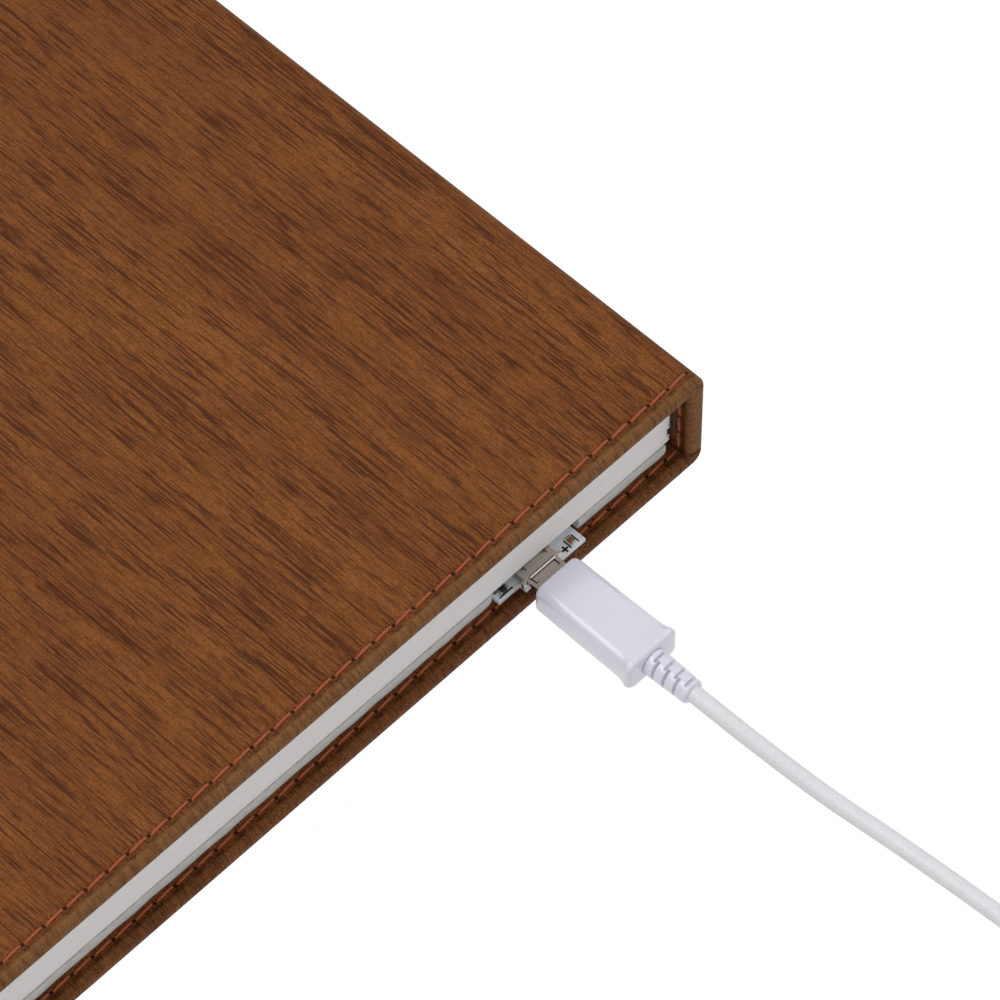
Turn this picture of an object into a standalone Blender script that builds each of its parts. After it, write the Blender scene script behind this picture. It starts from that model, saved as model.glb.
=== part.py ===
"""A folding book lamp: a leather book case on two hinge lines, a fan of paper leaves that carries
the light, a charging board with its port in the tail margin, and the lead that plugs into it.

X runs from the fore-edge to the spine, Y from the tail (where the port is) to the head, Z up.
The origin is the middle of the closed book's underside. Sizes are in metres.
"""

import math

import bmesh
import bpy
from mathutils import Vector

# The book
BOOK_WIDTH = 0.170
BOOK_LENGTH = 0.215
BOOK_THICKNESS = 0.0231
COVER_THICKNESS = 0.0030
SPINE_THICKNESS = 0.0033
HINGE_GAP = 0.0003

# The laminate of each cover and of the spine
LEATHER_THICKNESS = 0.0006
LAMINATE_GAP = 0.0002
TURN_IN = 0.0090
LINER_RECESS = 0.0001
EDGE_ROUND = 0.0011
SPINE_EDGE_ROUND = 0.0026
CORNER_ROUND = 0.0030
OVERRUN = 0.0020

# The magnets in the boards
MAGNET_RADIUS = 0.0040
MAGNET_HEIGHT = 0.0010
MAGNET_INSET = 0.0085
MAGNET_FROM_END = 0.040

# The leaves
PAGE_INSET = 0.0031
PAGE_BACK_INSET = 0.0054
LEAF_COUNT = 15
LEAF_GAP = 0.0003
PAPER_THICKNESS = 0.00015
LEAF_PINCH = 0.0006
LEAF_PIVOT_INSET = 0.0041
BINDING_THICKNESS = 0.0004
BINDING_GAP = 0.0003

# The tray under the leaves
TRAY_GAP = 0.0003
TRAY_BASE_THICKNESS = 0.0008
TRAY_FRAME_THICKNESS = 0.0017
TRAY_LID_THICKNESS = 0.00055
TRAY_LAYER_GAP = 0.0002
TRAY_BACK_INSET = 0.0057
TRAY_CORNER = 0.0020

# The electronics
SEAT_GAP = 0.0001
BOARD_WIDTH = 0.0185
BOARD_DEPTH = 0.0250
BOARD_THICKNESS = 0.0009
BOARD_FRONT_INSET = 0.0009
BOARD_STEP_WIDTH = 0.0047
BOARD_STEP_DEPTH = 0.0014
BOARD_SIDE = 0.0101
POCKET_CLEARANCE = 0.0008
CHIP_WIDTH = 0.0039
CHIP_LENGTH = 0.0049
CHIP_HEIGHT = 0.0013
CAPACITOR_WIDTH = 0.0012
CAPACITOR_LENGTH = 0.0020
CAPACITOR_HEIGHT = 0.0008
SWITCH_RADIUS = 0.0006
SWITCH_LENGTH = 0.0120
BATTERY_WIDTH = 0.034
BATTERY_LENGTH = 0.052
BATTERY_HEIGHT = 0.0025
BATTERY_ROUND = 0.0008
BATTERY_FROM_BOARD = 0.012
BATTERY_WALL = 0.00265
WIRE_RADIUS = 0.0004
WIRE_SPACING = 0.0020
WIRE_BEND = 0.0030
STRIP_WIDTH = 0.0050
STRIP_LENGTH = 0.170
STRIP_THICKNESS = 0.0003
STRIP_INSET = 0.0070
LED_COUNT = 5
LED_WIDTH = 0.0028
LED_LENGTH = 0.0035
LED_HEIGHT = 0.0007
WINDOW_WIDTH = 0.0060

# The micro-B port
PORT_FROM_SPINE = 0.0370
PORT_WIDTH = 0.0075
PORT_HEIGHT = 0.0024
PORT_DEPTH = 0.0055
PORT_FRONT_INSET = 0.0011
PORT_WALL = 0.00025
PORT_CHAMFER = 0.0007
PORT_LIP = 0.00025
PORT_LIP_LENGTH = 0.0003
TONGUE_WIDTH = 0.0037
TONGUE_HEIGHT = 0.0005
TONGUE_LENGTH = 0.0034
TONGUE_BLOCK = 0.0008

# The micro-B plug
PLUG_WIDTH = 0.0068
PLUG_HEIGHT = 0.0018
PLUG_WALL = 0.00025
PLUG_INSERTED = 0.0043
PLUG_EXPOSED = 0.0031
PLUG_BURIED = 0.0020
PLUG_CLEARANCE = 0.0001
GRIP_LENGTH = 0.0215
GRIP_FRONT_WIDTH = 0.0098
GRIP_REAR_WIDTH = 0.0113
GRIP_HEIGHT = 0.0068
GRIP_ROUND = 0.0020
GRIP_SEGMENTS = 5
RELIEF_LENGTH = 0.0088
RELIEF_RADIUS = 0.0025
RELIEF_TIP_RADIUS = 0.0022
RELIEF_RIBS = 4
RELIEF_GROOVE = 0.0005

# The lead
CORD_RADIUS = 0.0015
CORD_GAP = 0.0003
FLOOR_GAP = 0.00005
COIL_CENTRE_X = 0.0765
COIL_CENTRE_Y = -0.2350
COIL_TURNS = 3
COIL_MEAN_RADIUS = 0.0180
COIL_CLEARANCE = 0.00045
COIL_POINTS = 24
TIE_THICKNESS = 0.0005
TIE_WIDTH = 0.0050
TIE_GAP = 0.0002
TIE_ROUND = 0.0020
END_RUN = 0.0170

# The USB-A plug
USB_A_WIDTH = 0.0120
USB_A_HEIGHT = 0.0045
USB_A_LENGTH = 0.0120
USB_A_BURIED = 0.0020
USB_A_WALL = 0.0003
USB_A_TONGUE_HEIGHT = 0.0018
USB_A_SLOT = 0.0022
USB_A_GRIP_LENGTH = 0.0230
USB_A_GRIP_WIDTH = 0.0145
USB_A_GRIP_HEIGHT = 0.0078
USB_A_GRIP_ROUND = 0.0018
USB_A_RELIEF_LENGTH = 0.0080

# Places worked out from the sizes above
SPINE_X = BOOK_WIDTH / 2
FORE_X = -BOOK_WIDTH / 2
TAIL_Y = -BOOK_LENGTH / 2
HEAD_Y = BOOK_LENGTH / 2
SPINE_INNER_X = SPINE_X - SPINE_THICKNESS
COVER_INNER_Z = COVER_THICKNESS
HINGE_X = SPINE_X + HINGE_GAP / 2
HINGE_Z = COVER_THICKNESS + HINGE_GAP / 2
TOP_HINGE_Z = BOOK_THICKNESS - HINGE_Z
PAGE_TAIL_Y = TAIL_Y + PAGE_INSET
PAGE_HEAD_Y = HEAD_Y - PAGE_INSET
PAGE_FORE_X = FORE_X + PAGE_INSET
PAGE_BACK_X = SPINE_X - PAGE_BACK_INSET
LEAF_PIVOT_X = SPINE_X - LEAF_PIVOT_INSET
TRAY_Z = COVER_INNER_Z + TRAY_GAP
TRAY_FRAME_Z = TRAY_Z + TRAY_BASE_THICKNESS + TRAY_LAYER_GAP
TRAY_LID_Z = TRAY_FRAME_Z + TRAY_FRAME_THICKNESS + TRAY_LAYER_GAP
TRAY_TOP_Z = TRAY_LID_Z + TRAY_LID_THICKNESS
LEAVES_Z = TRAY_TOP_Z + LEAF_GAP
LEAVES_TOP_Z = BOOK_THICKNESS - COVER_THICKNESS - LEAF_GAP
LEAF_PITCH = (LEAVES_TOP_Z - LEAVES_Z + LEAF_GAP) / LEAF_COUNT
LEAF_THICKNESS = LEAF_PITCH - LEAF_GAP
PORT_X = SPINE_X - PORT_FROM_SPINE
PORT_Y = TAIL_Y + PORT_FRONT_INSET
BOARD_TOP_Z = TRAY_Z + BOARD_THICKNESS
PORT_Z = BOARD_TOP_Z + SEAT_GAP + PORT_HEIGHT / 2
BOARD_FRONT_Y = TAIL_Y + BOARD_FRONT_INSET
BOARD_HIGH_X = PORT_X + BOARD_SIDE
BOARD_LOW_X = BOARD_HIGH_X - BOARD_WIDTH
BOARD_BACK_Y = BOARD_FRONT_Y + BOARD_DEPTH
BATTERY_LOW_Y = BOARD_BACK_Y + BATTERY_FROM_BOARD
STRIP_X = SPINE_X - TRAY_BACK_INSET - STRIP_INSET
BATTERY_HIGH_X = STRIP_X - WINDOW_WIDTH / 2 - BATTERY_WALL - POCKET_CLEARANCE
BATTERY_LOW_X = BATTERY_HIGH_X - BATTERY_WIDTH
GRIP_FRONT_Y = PORT_Y - PLUG_EXPOSED
GRIP_REAR_Y = GRIP_FRONT_Y - GRIP_LENGTH
RELIEF_END_Y = GRIP_REAR_Y - RELIEF_LENGTH
COIL_STEP = 2 * CORD_RADIUS + COIL_CLEARANCE
COIL_Z = CORD_RADIUS + TIE_THICKNESS + TIE_GAP + FLOOR_GAP
COIL_HALF_SPAN = COIL_STEP * COIL_TURNS / 2
COIL_OUTER = COIL_MEAN_RADIUS + COIL_HALF_SPAN
USB_A_Z = USB_A_GRIP_HEIGHT / 2 + FLOOR_GAP
USB_A_X = COIL_CENTRE_X + COIL_OUTER

# Colours, roughness and metal of each finish
FINISHES = {
    "leather": ((0.16, 0.065, 0.025), 0.55, 0.0),
    "board": ((0.42, 0.40, 0.36), 0.9, 0.0),
    "liner": ((0.75, 0.73, 0.70), 0.8, 0.0),
    "paper": ((0.85, 0.84, 0.82), 0.8, 0.0),
    "tray": ((0.88, 0.88, 0.86), 0.7, 0.0),
    "magnet": ((0.55, 0.55, 0.55), 0.3, 1.0),
    "circuit_board": ((0.85, 0.86, 0.83), 0.4, 0.0),
    "chip": ((0.02, 0.02, 0.02), 0.4, 0.0),
    "capacitor": ((0.45, 0.25, 0.10), 0.4, 0.0),
    "battery": ((0.60, 0.62, 0.65), 0.3, 0.6),
    "red_wire": ((0.55, 0.02, 0.02), 0.45, 0.0),
    "black_wire": ((0.02, 0.02, 0.02), 0.45, 0.0),
    "led": ((0.90, 0.80, 0.35), 0.4, 0.0),
    "nickel": ((0.55, 0.53, 0.48), 0.25, 1.0),
    "insulator": ((0.03, 0.03, 0.03), 0.5, 0.0),
    "plug": ((0.80, 0.80, 0.83), 0.25, 0.0),
    "cord": ((0.78, 0.78, 0.78), 0.45, 0.0),
    "tie": ((0.05, 0.05, 0.05), 0.6, 0.0),
}

LAMP = bpy.data.collections.new("folding_book_lamp")
CUTTERS = bpy.data.collections.new("cutters")


def clear_scene():
    for old in list(bpy.data.objects):
        bpy.data.objects.remove(old, do_unlink=True)
    bpy.context.scene.collection.children.link(LAMP)
    bpy.context.scene.collection.children.link(CUTTERS)


def finish(name):
    """The Principled material of one finish, made once."""
    material = bpy.data.materials.get(name)
    if material:
        return material
    colour, roughness, metal = FINISHES[name]
    material = bpy.data.materials.new(name)
    material.use_nodes = True
    shader = material.node_tree.nodes["Principled BSDF"]
    shader.inputs["Base Color"].default_value = (*colour, 1)
    shader.inputs["Roughness"].default_value = roughness
    shader.inputs["Metallic"].default_value = metal
    return material


def object_from(mesh, name, material):
    obj = bpy.data.objects.new(name, mesh)
    if material:
        mesh.materials.append(finish(material))
        LAMP.objects.link(obj)
    else:
        CUTTERS.objects.link(obj)
        obj.hide_render = True
        obj.display_type = "WIRE"
    return obj


def prism(name, outline, axis, low, high, material=None):
    """A flat outline pushed along an axis. Along Y the outline is (x, z), along X (y, z), along Z (x, y)."""
    place = {
        "X": lambda u, v, w: (w, u, v),
        "Y": lambda u, v, w: (u, w, v),
        "Z": lambda u, v, w: (u, v, w),
    }[axis]
    bm = bmesh.new()
    face = bm.faces.new([bm.verts.new(place(u, v, low)) for u, v in outline])
    pushed = bmesh.ops.extrude_face_region(bm, geom=[face])["geom"]
    corners = [item for item in pushed if isinstance(item, bmesh.types.BMVert)]
    bmesh.ops.translate(bm, vec=Vector(place(0, 0, high - low)), verts=corners)
    bmesh.ops.recalc_face_normals(bm, faces=bm.faces)
    mesh = bpy.data.meshes.new(name)
    bm.to_mesh(mesh)
    bm.free()
    return object_from(mesh, name, material)


def arc(centre, radius, start, end, steps):
    """Points of an arc, angles in degrees."""
    angles = [math.radians(start + (end - start) * i / steps) for i in range(steps + 1)]
    return [(centre[0] + radius * math.cos(a), centre[1] + radius * math.sin(a)) for a in angles]


def rounded(low, high, radii, steps=4):
    """A rectangle with its own radius at each corner: low-low, high-low, high-high, low-high."""
    corners = [(low[0], low[1]), (high[0], low[1]), (high[0], high[1]), (low[0], high[1])]
    inwards = [(1, 1), (-1, 1), (-1, -1), (1, -1)]
    outline = []
    for turn, (corner, inward, radius) in enumerate(zip(corners, inwards, radii)):
        if not radius:
            outline.append(corner)
            continue
        centre = (corner[0] + inward[0] * radius, corner[1] + inward[1] * radius)
        outline += arc(centre, radius, 180 + 90 * turn, 270 + 90 * turn, steps)
    return outline


def block(name, low, high, material=None, radius=0.0, axis="Z", steps=4):
    """A block between two corners, its edges along one axis rounded."""
    keep = {"X": (1, 2, 0), "Y": (0, 2, 1), "Z": (0, 1, 2)}[axis]
    outline = rounded(
        (low[keep[0]], low[keep[1]]), (high[keep[0]], high[keep[1]]), (radius,) * 4, steps
    )
    return prism(name, outline, axis, low[keep[2]], high[keep[2]], material)


def boolean(obj, other, operation="DIFFERENCE"):
    modifier = obj.modifiers.new(other.name, "BOOLEAN")
    modifier.operation = operation
    modifier.solver = "EXACT"
    modifier.object = other
    return obj


def baked(obj):
    """The object's own evaluated mesh, in place of its modifiers or its curve."""
    bpy.context.view_layer.update()
    graph = bpy.context.evaluated_depsgraph_get()
    mesh = bpy.data.meshes.new_from_object(obj.evaluated_get(graph))
    bm = bmesh.new()
    bm.from_mesh(mesh)
    bmesh.ops.remove_doubles(bm, verts=bm.verts, dist=SEAT_GAP / 100)
    bm.to_mesh(mesh)
    bm.free()
    return mesh


def loft(name, sections, material=None):
    """A closed skin through outlines of equal count, each a list of points in space."""
    bm = bmesh.new()
    rings = [[bm.verts.new(point) for point in section] for section in sections]
    for ring, following in zip(rings, rings[1:]):
        for i in range(len(ring)):
            j = (i + 1) % len(ring)
            bm.faces.new((ring[i], ring[j], following[j], following[i]))
    bm.faces.new(rings[0])
    bm.faces.new(rings[-1])
    bmesh.ops.recalc_face_normals(bm, faces=bm.faces)
    mesh = bpy.data.meshes.new(name)
    bm.to_mesh(mesh)
    bm.free()
    return object_from(mesh, name, material)


def tube(name, points, radius, material, resolution=2):
    """A round wire through the points, with closed ends."""
    curve = bpy.data.curves.new(name, "CURVE")
    curve.dimensions = "3D"
    curve.bevel_depth = radius
    curve.bevel_resolution = resolution
    curve.use_fill_caps = True
    spline = curve.splines.new("POLY")
    spline.points.add(len(points) - 1)
    for place, point in zip(spline.points, points):
        place.co = (*point, 1)
    return object_from(curve, name, material)


def turned(name, profile, material, location, heading, steps=20):
    """A profile of (radius, height) turned about an axis that points along the heading."""
    mesh = bpy.data.meshes.new(name)
    bm = bmesh.new()
    points = [bm.verts.new((radius, 0, height)) for radius, height in profile]
    for a, b in zip(points, points[1:]):
        bm.edges.new((a, b))
    bm.to_mesh(mesh)
    bm.free()
    obj = object_from(mesh, name, material)
    screw = obj.modifiers.new("turn", "SCREW")
    screw.steps = steps
    screw.render_steps = steps
    screw.use_merge_vertices = True
    screw.merge_threshold = SEAT_GAP / 10
    obj.location = location
    obj.rotation_euler = Vector(heading).to_track_quat("Z", "Y").to_euler()
    return obj


def pivot(name, location, parent=None):
    """An empty on a joint's axis, which carries one body."""
    empty = bpy.data.objects.new(name, None)
    empty.location = Vector(location) - (parent.matrix_world.translation if parent else Vector())
    empty.parent = parent
    LAMP.objects.link(empty)
    bpy.context.view_layer.update()
    return empty


def carry(body, *pieces):
    """Parents pieces to the body that moves them, each staying where it is."""
    for piece in pieces:
        piece.location = piece.location - body.matrix_world.translation
        piece.parent = body


def leather_skin(name, low, high, edge_radii, corner_radii, window_low, window_high):
    """One leather wrap: two rounded profiles and a plan crossed, emptied for its board, open inwards."""
    skin = prism(
        name,
        rounded((low[0], low[2]), (high[0], high[2]), edge_radii),
        "Y",
        low[1],
        high[1],
        "leather",
    )
    ends = rounded((low[1], low[2]), (high[1], high[2]), (EDGE_ROUND,) * 4)
    across = prism(name + "_ends", ends, "X", low[0] - OVERRUN, high[0] + OVERRUN)
    plan = rounded((low[0], low[1]), (high[0], high[1]), corner_radii)
    outline = prism(name + "_plan", plan, "Z", low[2] - OVERRUN, high[2] + OVERRUN)
    hollow_low = [value + LEATHER_THICKNESS for value in low]
    hollow_high = [value - LEATHER_THICKNESS for value in high]
    hollow = block(name + "_hollow", hollow_low, hollow_high)
    window = block(name + "_window", window_low, window_high)
    boolean(skin, across, "INTERSECT")
    boolean(skin, outline, "INTERSECT")
    boolean(skin, hollow)
    boolean(skin, window)
    return skin


def magnet_seats(side_x=FORE_X + MAGNET_INSET):
    return [(side_x, TAIL_Y + MAGNET_FROM_END), (side_x, HEAD_Y - MAGNET_FROM_END)]


def magnet(name, seat, low_z):
    """A flat disc in its hole in a board."""
    bm = bmesh.new()
    bmesh.ops.create_cone(
        bm,
        cap_ends=True,
        segments=24,
        radius1=MAGNET_RADIUS,
        radius2=MAGNET_RADIUS,
        depth=MAGNET_HEIGHT,
    )
    mesh = bpy.data.meshes.new(name)
    bm.to_mesh(mesh)
    bm.free()
    disc = object_from(mesh, name, "magnet")
    disc.location = (*seat, low_z + MAGNET_HEIGHT / 2)
    return disc


def cover(side, low_z, outer_down, seats):
    """A leather cover with its board, liner and magnets. The outer face is down or up."""
    high_z = low_z + COVER_THICKNESS
    low = (FORE_X, TAIL_Y, low_z)
    high = (SPINE_X, HEAD_Y, high_z)
    if outer_down:
        edge_radii = (EDGE_ROUND, SPINE_EDGE_ROUND, 0, EDGE_ROUND)
        window_z = (high_z - LEATHER_THICKNESS - OVERRUN / 2, high_z + OVERRUN)
    else:
        edge_radii = (EDGE_ROUND, 0, SPINE_EDGE_ROUND, EDGE_ROUND)
        window_z = (low_z - OVERRUN, low_z + LEATHER_THICKNESS + OVERRUN / 2)
    corners = (CORNER_ROUND, LEATHER_THICKNESS, LEATHER_THICKNESS, CORNER_ROUND)
    window_low = (FORE_X + TURN_IN, TAIL_Y + TURN_IN, window_z[0])
    window_high = (SPINE_INNER_X - TURN_IN, HEAD_Y - TURN_IN, window_z[1])
    skin = leather_skin(
        side + "_leather", low, high, edge_radii, corners, window_low, window_high
    )

    inset = LEATHER_THICKNESS + LAMINATE_GAP
    board_low = (FORE_X + inset, TAIL_Y + inset, low_z + inset)
    board_high = (SPINE_X - 2 * inset, HEAD_Y - inset, high_z - inset)
    board = block(side + "_board", board_low, board_high, "board", CORNER_ROUND)
    for number, (x, y) in enumerate(seats):
        hole_radius = MAGNET_RADIUS + LAMINATE_GAP
        corner = (x - hole_radius, y - hole_radius, low_z)
        far = (x + hole_radius, y + hole_radius, high_z)
        hole = block(f"{side}_hole_{number}", corner, far, radius=hole_radius, steps=6)
        boolean(board, hole)
    if outer_down:
        liner_z = (high_z - LEATHER_THICKNESS, high_z - LINER_RECESS)
    else:
        liner_z = (low_z + LINER_RECESS, low_z + LEATHER_THICKNESS)
    liner_low = (window_low[0] + LAMINATE_GAP, window_low[1] + LAMINATE_GAP, liner_z[0])
    liner_high = (window_high[0] - LAMINATE_GAP, window_high[1] - LAMINATE_GAP, liner_z[1])
    liner = block(side + "_liner", liner_low, liner_high, "liner")
    discs = [
        magnet(f"{side}_magnet_{number + 1}", seat, low_z + inset)
        for number, seat in enumerate(seats[:2])
    ]
    return [skin, board, liner] + discs


def spine():
    low = (SPINE_INNER_X, TAIL_Y, COVER_THICKNESS + HINGE_GAP)
    high = (SPINE_X, HEAD_Y, BOOK_THICKNESS - COVER_THICKNESS - HINGE_GAP)
    margin = LEATHER_THICKNESS + LAMINATE_GAP
    window_low = (low[0] - OVERRUN, TAIL_Y + TURN_IN, low[2] + 2 * margin)
    window_high = (
        low[0] + LEATHER_THICKNESS + OVERRUN / 2,
        HEAD_Y - TURN_IN,
        high[2] - 2 * margin,
    )
    skin = prism("spine_leather", rounded((low[0], low[2]), (high[0], high[2]), (0,) * 4), "Y",
                 low[1], high[1], "leather")
    plan = rounded((low[0], low[1]), (high[0], high[1]), (EDGE_ROUND,) * 4)
    boolean(skin, prism("spine_plan", plan, "Z", low[2] - OVERRUN, high[2] + OVERRUN), "INTERSECT")
    hollow_low = [value + LEATHER_THICKNESS for value in low]
    hollow_high = [value - LEATHER_THICKNESS for value in high]
    boolean(skin, block("spine_hollow", hollow_low, hollow_high))
    boolean(skin, block("spine_window", window_low, window_high))
    board_low = [value + margin for value in low]
    board_high = [value - margin for value in high]
    board = block("spine_board", board_low, board_high, "board", LEATHER_THICKNESS)
    liner = block(
        "spine_liner",
        (low[0] + LINER_RECESS, window_low[1] + LAMINATE_GAP, window_low[2] + LAMINATE_GAP),
        (low[0] + LEATHER_THICKNESS, window_high[1] - LAMINATE_GAP, window_high[2] - LAMINATE_GAP),
        "liner",
    )
    strip = block(
        "binding_strip",
        (low[0] - BINDING_GAP - BINDING_THICKNESS, PAGE_TAIL_Y, LEAVES_Z),
        (low[0] - BINDING_GAP, PAGE_HEAD_Y, LEAVES_TOP_Z),
        "liner",
    )
    return [skin, board, liner, strip]


def leaf_mesh():
    """One leaf: a sheet folded double at the fore-edge, its two plies glued to a flap at the binding.
    Its origin is the line that it turns on."""
    half = LEAF_THICKNESS / 2
    back = PAGE_BACK_X - LEAF_PIVOT_X
    fold = PAGE_FORE_X - LEAF_PIVOT_X + half
    flap = -PAPER_THICKNESS
    outline = [(flap, -PAPER_THICKNESS), (back + LEAF_PINCH, -PAPER_THICKNESS), (back, -half)]
    outline += arc((fold, 0), half, 270, 90, 6)
    outline += [(back, half), (back + LEAF_PINCH, PAPER_THICKNESS), (flap, PAPER_THICKNESS)]
    leaf = prism("leaf", outline, "Y", PAGE_TAIL_Y, PAGE_HEAD_Y)
    inner = half - PAPER_THICKNESS
    hollow = [(back, -inner)]
    hollow += arc((fold, 0), inner, 270, 90, 6)
    hollow += [(back, inner), (back + LEAF_PINCH / 2, 0)]
    boolean(leaf, prism("leaf_hollow", hollow, "Y", PAGE_TAIL_Y - OVERRUN, PAGE_HEAD_Y + OVERRUN))
    mesh = baked(leaf)
    mesh.materials.clear()
    mesh.materials.append(finish("paper"))
    return mesh


def leaves(bottom, spine_body, top):
    """The fan. The lower quarter turns on the bottom cover, the middle half on the spine and the
    upper quarter on the top cover."""
    mesh = leaf_mesh()
    spaces = LEAF_COUNT + 1
    for number in range(1, LEAF_COUNT + 1):
        leaf = bpy.data.objects.new(f"page_{number:02d}", mesh)
        LAMP.objects.link(leaf)
        height = LEAVES_Z + LEAF_THICKNESS / 2 + (number - 1) * LEAF_PITCH
        leaf.location = (LEAF_PIVOT_X, 0, height)
        if number * 4 <= spaces:
            carry(bottom, leaf)
        elif number * 4 < 3 * spaces:
            carry(spine_body, leaf)
        else:
            carry(top, leaf)


def tray():
    """Three card layers under the leaves, cut out for the board, the battery and the light strip."""
    low_x, high_x = PAGE_FORE_X, SPINE_X - TRAY_BACK_INSET
    layers = []
    for name, low_z, thickness in (
        ("tray_base", TRAY_Z, TRAY_BASE_THICKNESS),
        ("tray_frame", TRAY_FRAME_Z, TRAY_FRAME_THICKNESS),
        ("tray_lid", TRAY_LID_Z, TRAY_LID_THICKNESS),
    ):
        layers.append(
            block(
                name,
                (low_x, PAGE_TAIL_Y, low_z),
                (high_x, PAGE_HEAD_Y, low_z + thickness),
                "tray",
                TRAY_CORNER,
            )
        )
    base, frame, lid = layers
    board_low_x = BOARD_LOW_X - POCKET_CLEARANCE
    board_high_x = BOARD_HIGH_X + POCKET_CLEARANCE
    board_back = BOARD_BACK_Y + POCKET_CLEARANCE
    board_pocket = block(
        "board_pocket",
        (board_low_x, TAIL_Y - OVERRUN, 0),
        (board_high_x, board_back, TRAY_LID_Z - TRAY_LAYER_GAP / 2),
    )
    port_half = PORT_WIDTH / 2 + PORT_LIP + POCKET_CLEARANCE
    port_notch = block(
        "port_notch",
        (PORT_X - port_half, TAIL_Y - OVERRUN, 0),
        (PORT_X + port_half, PORT_Y + PORT_DEPTH + POCKET_CLEARANCE, TRAY_TOP_Z + OVERRUN),
    )
    battery_pocket = block(
        "battery_pocket",
        (BATTERY_LOW_X - POCKET_CLEARANCE, BATTERY_LOW_Y - POCKET_CLEARANCE, 0),
        (
            BATTERY_HIGH_X + POCKET_CLEARANCE,
            BATTERY_LOW_Y + BATTERY_LENGTH + POCKET_CLEARANCE,
            TRAY_LID_Z - TRAY_LAYER_GAP / 2,
        ),
    )
    wire_half = WIRE_SPACING + WIRE_RADIUS + POCKET_CLEARANCE
    wire_channel = block(
        "wire_channel",
        (PORT_X - wire_half, BOARD_BACK_Y - OVERRUN, TRAY_FRAME_Z - TRAY_LAYER_GAP / 2),
        (PORT_X + wire_half, BATTERY_LOW_Y + OVERRUN, TRAY_LID_Z - TRAY_LAYER_GAP / 2),
    )
    strip_half = WINDOW_WIDTH / 2
    strip_channel = block(
        "strip_channel",
        (STRIP_X - strip_half, -STRIP_LENGTH / 2 - POCKET_CLEARANCE, TRAY_FRAME_Z - TRAY_LAYER_GAP / 2),
        (STRIP_X + strip_half, STRIP_LENGTH / 2 + POCKET_CLEARANCE, TRAY_TOP_Z + OVERRUN),
    )
    led_wire_y = BOARD_BACK_Y - WIRE_BEND
    led_channel = block(
        "led_channel",
        (
            BOARD_HIGH_X - OVERRUN,
            led_wire_y - wire_half,
            TRAY_FRAME_Z - TRAY_LAYER_GAP / 2,
        ),
        (STRIP_X, led_wire_y + wire_half, TRAY_LID_Z - TRAY_LAYER_GAP / 2),
    )
    for layer in layers:
        boolean(layer, port_notch)
    for layer in (base, frame):
        boolean(layer, board_pocket)
        boolean(layer, battery_pocket)
    boolean(frame, wire_channel)
    boolean(frame, led_channel)
    for layer in (frame, lid):
        boolean(layer, strip_channel)
    return layers


def charging_board():
    low_z, high_z = TRAY_Z, BOARD_TOP_Z
    step_x = BOARD_LOW_X + BOARD_STEP_WIDTH
    step_y = BOARD_FRONT_Y + BOARD_STEP_DEPTH
    outline = [
        (BOARD_LOW_X, step_y),
        (step_x, step_y),
        (step_x, BOARD_FRONT_Y),
        (BOARD_HIGH_X, BOARD_FRONT_Y),
        (BOARD_HIGH_X, BOARD_BACK_Y),
        (BOARD_LOW_X, BOARD_BACK_Y),
    ]
    board = prism("charger_board", outline, "Z", low_z, high_z, "circuit_board")
    seat = high_z + SEAT_GAP
    chip_y = PORT_Y + PORT_DEPTH + CHIP_LENGTH
    chip = block(
        "charger_chip",
        (PORT_X - CHIP_WIDTH / 2, chip_y - CHIP_LENGTH / 2, seat),
        (PORT_X + CHIP_WIDTH / 2, chip_y + CHIP_LENGTH / 2, seat + CHIP_HEIGHT),
        "chip",
    )
    side_x = BOARD_HIGH_X - 2 * CAPACITOR_WIDTH
    capacitor_y = PAGE_TAIL_Y + CAPACITOR_LENGTH
    capacitor = block(
        "charger_capacitor",
        (side_x, capacitor_y, seat),
        (side_x + CAPACITOR_WIDTH, capacitor_y + CAPACITOR_LENGTH, seat + CAPACITOR_HEIGHT),
        "capacitor",
    )
    switch_x = BOARD_LOW_X + BOARD_STEP_WIDTH / 2
    switch = tube(
        "lid_switch",
        [
            (switch_x, BOARD_BACK_Y - OVERRUN - SWITCH_LENGTH, seat + SWITCH_RADIUS),
            (switch_x, BOARD_BACK_Y - OVERRUN, seat + SWITCH_RADIUS),
        ],
        SWITCH_RADIUS,
        "battery",
    )
    battery = block(
        "battery_cell",
        (BATTERY_LOW_X, BATTERY_LOW_Y, TRAY_Z),
        (BATTERY_HIGH_X, BATTERY_LOW_Y + BATTERY_LENGTH, TRAY_Z + BATTERY_HEIGHT),
        "battery",
        BATTERY_ROUND,
        "Y",
    )
    return [board, chip, capacitor, switch, battery]


def light_strip():
    low_z = TRAY_FRAME_Z
    strip = block(
        "led_strip",
        (STRIP_X - STRIP_WIDTH / 2, -STRIP_LENGTH / 2, low_z),
        (STRIP_X + STRIP_WIDTH / 2, STRIP_LENGTH / 2, low_z + STRIP_THICKNESS),
        "circuit_board",
    )
    pieces = [strip]
    seat = low_z + STRIP_THICKNESS + SEAT_GAP
    for number in range(LED_COUNT):
        y = (number - (LED_COUNT - 1) / 2) * STRIP_LENGTH / LED_COUNT
        pieces.append(
            block(
                f"led_{number + 1}",
                (STRIP_X - LED_WIDTH / 2, y - LED_LENGTH / 2, seat),
                (STRIP_X + LED_WIDTH / 2, y + LED_LENGTH / 2, seat + LED_HEIGHT),
                "led",
            )
        )
    return pieces


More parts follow.
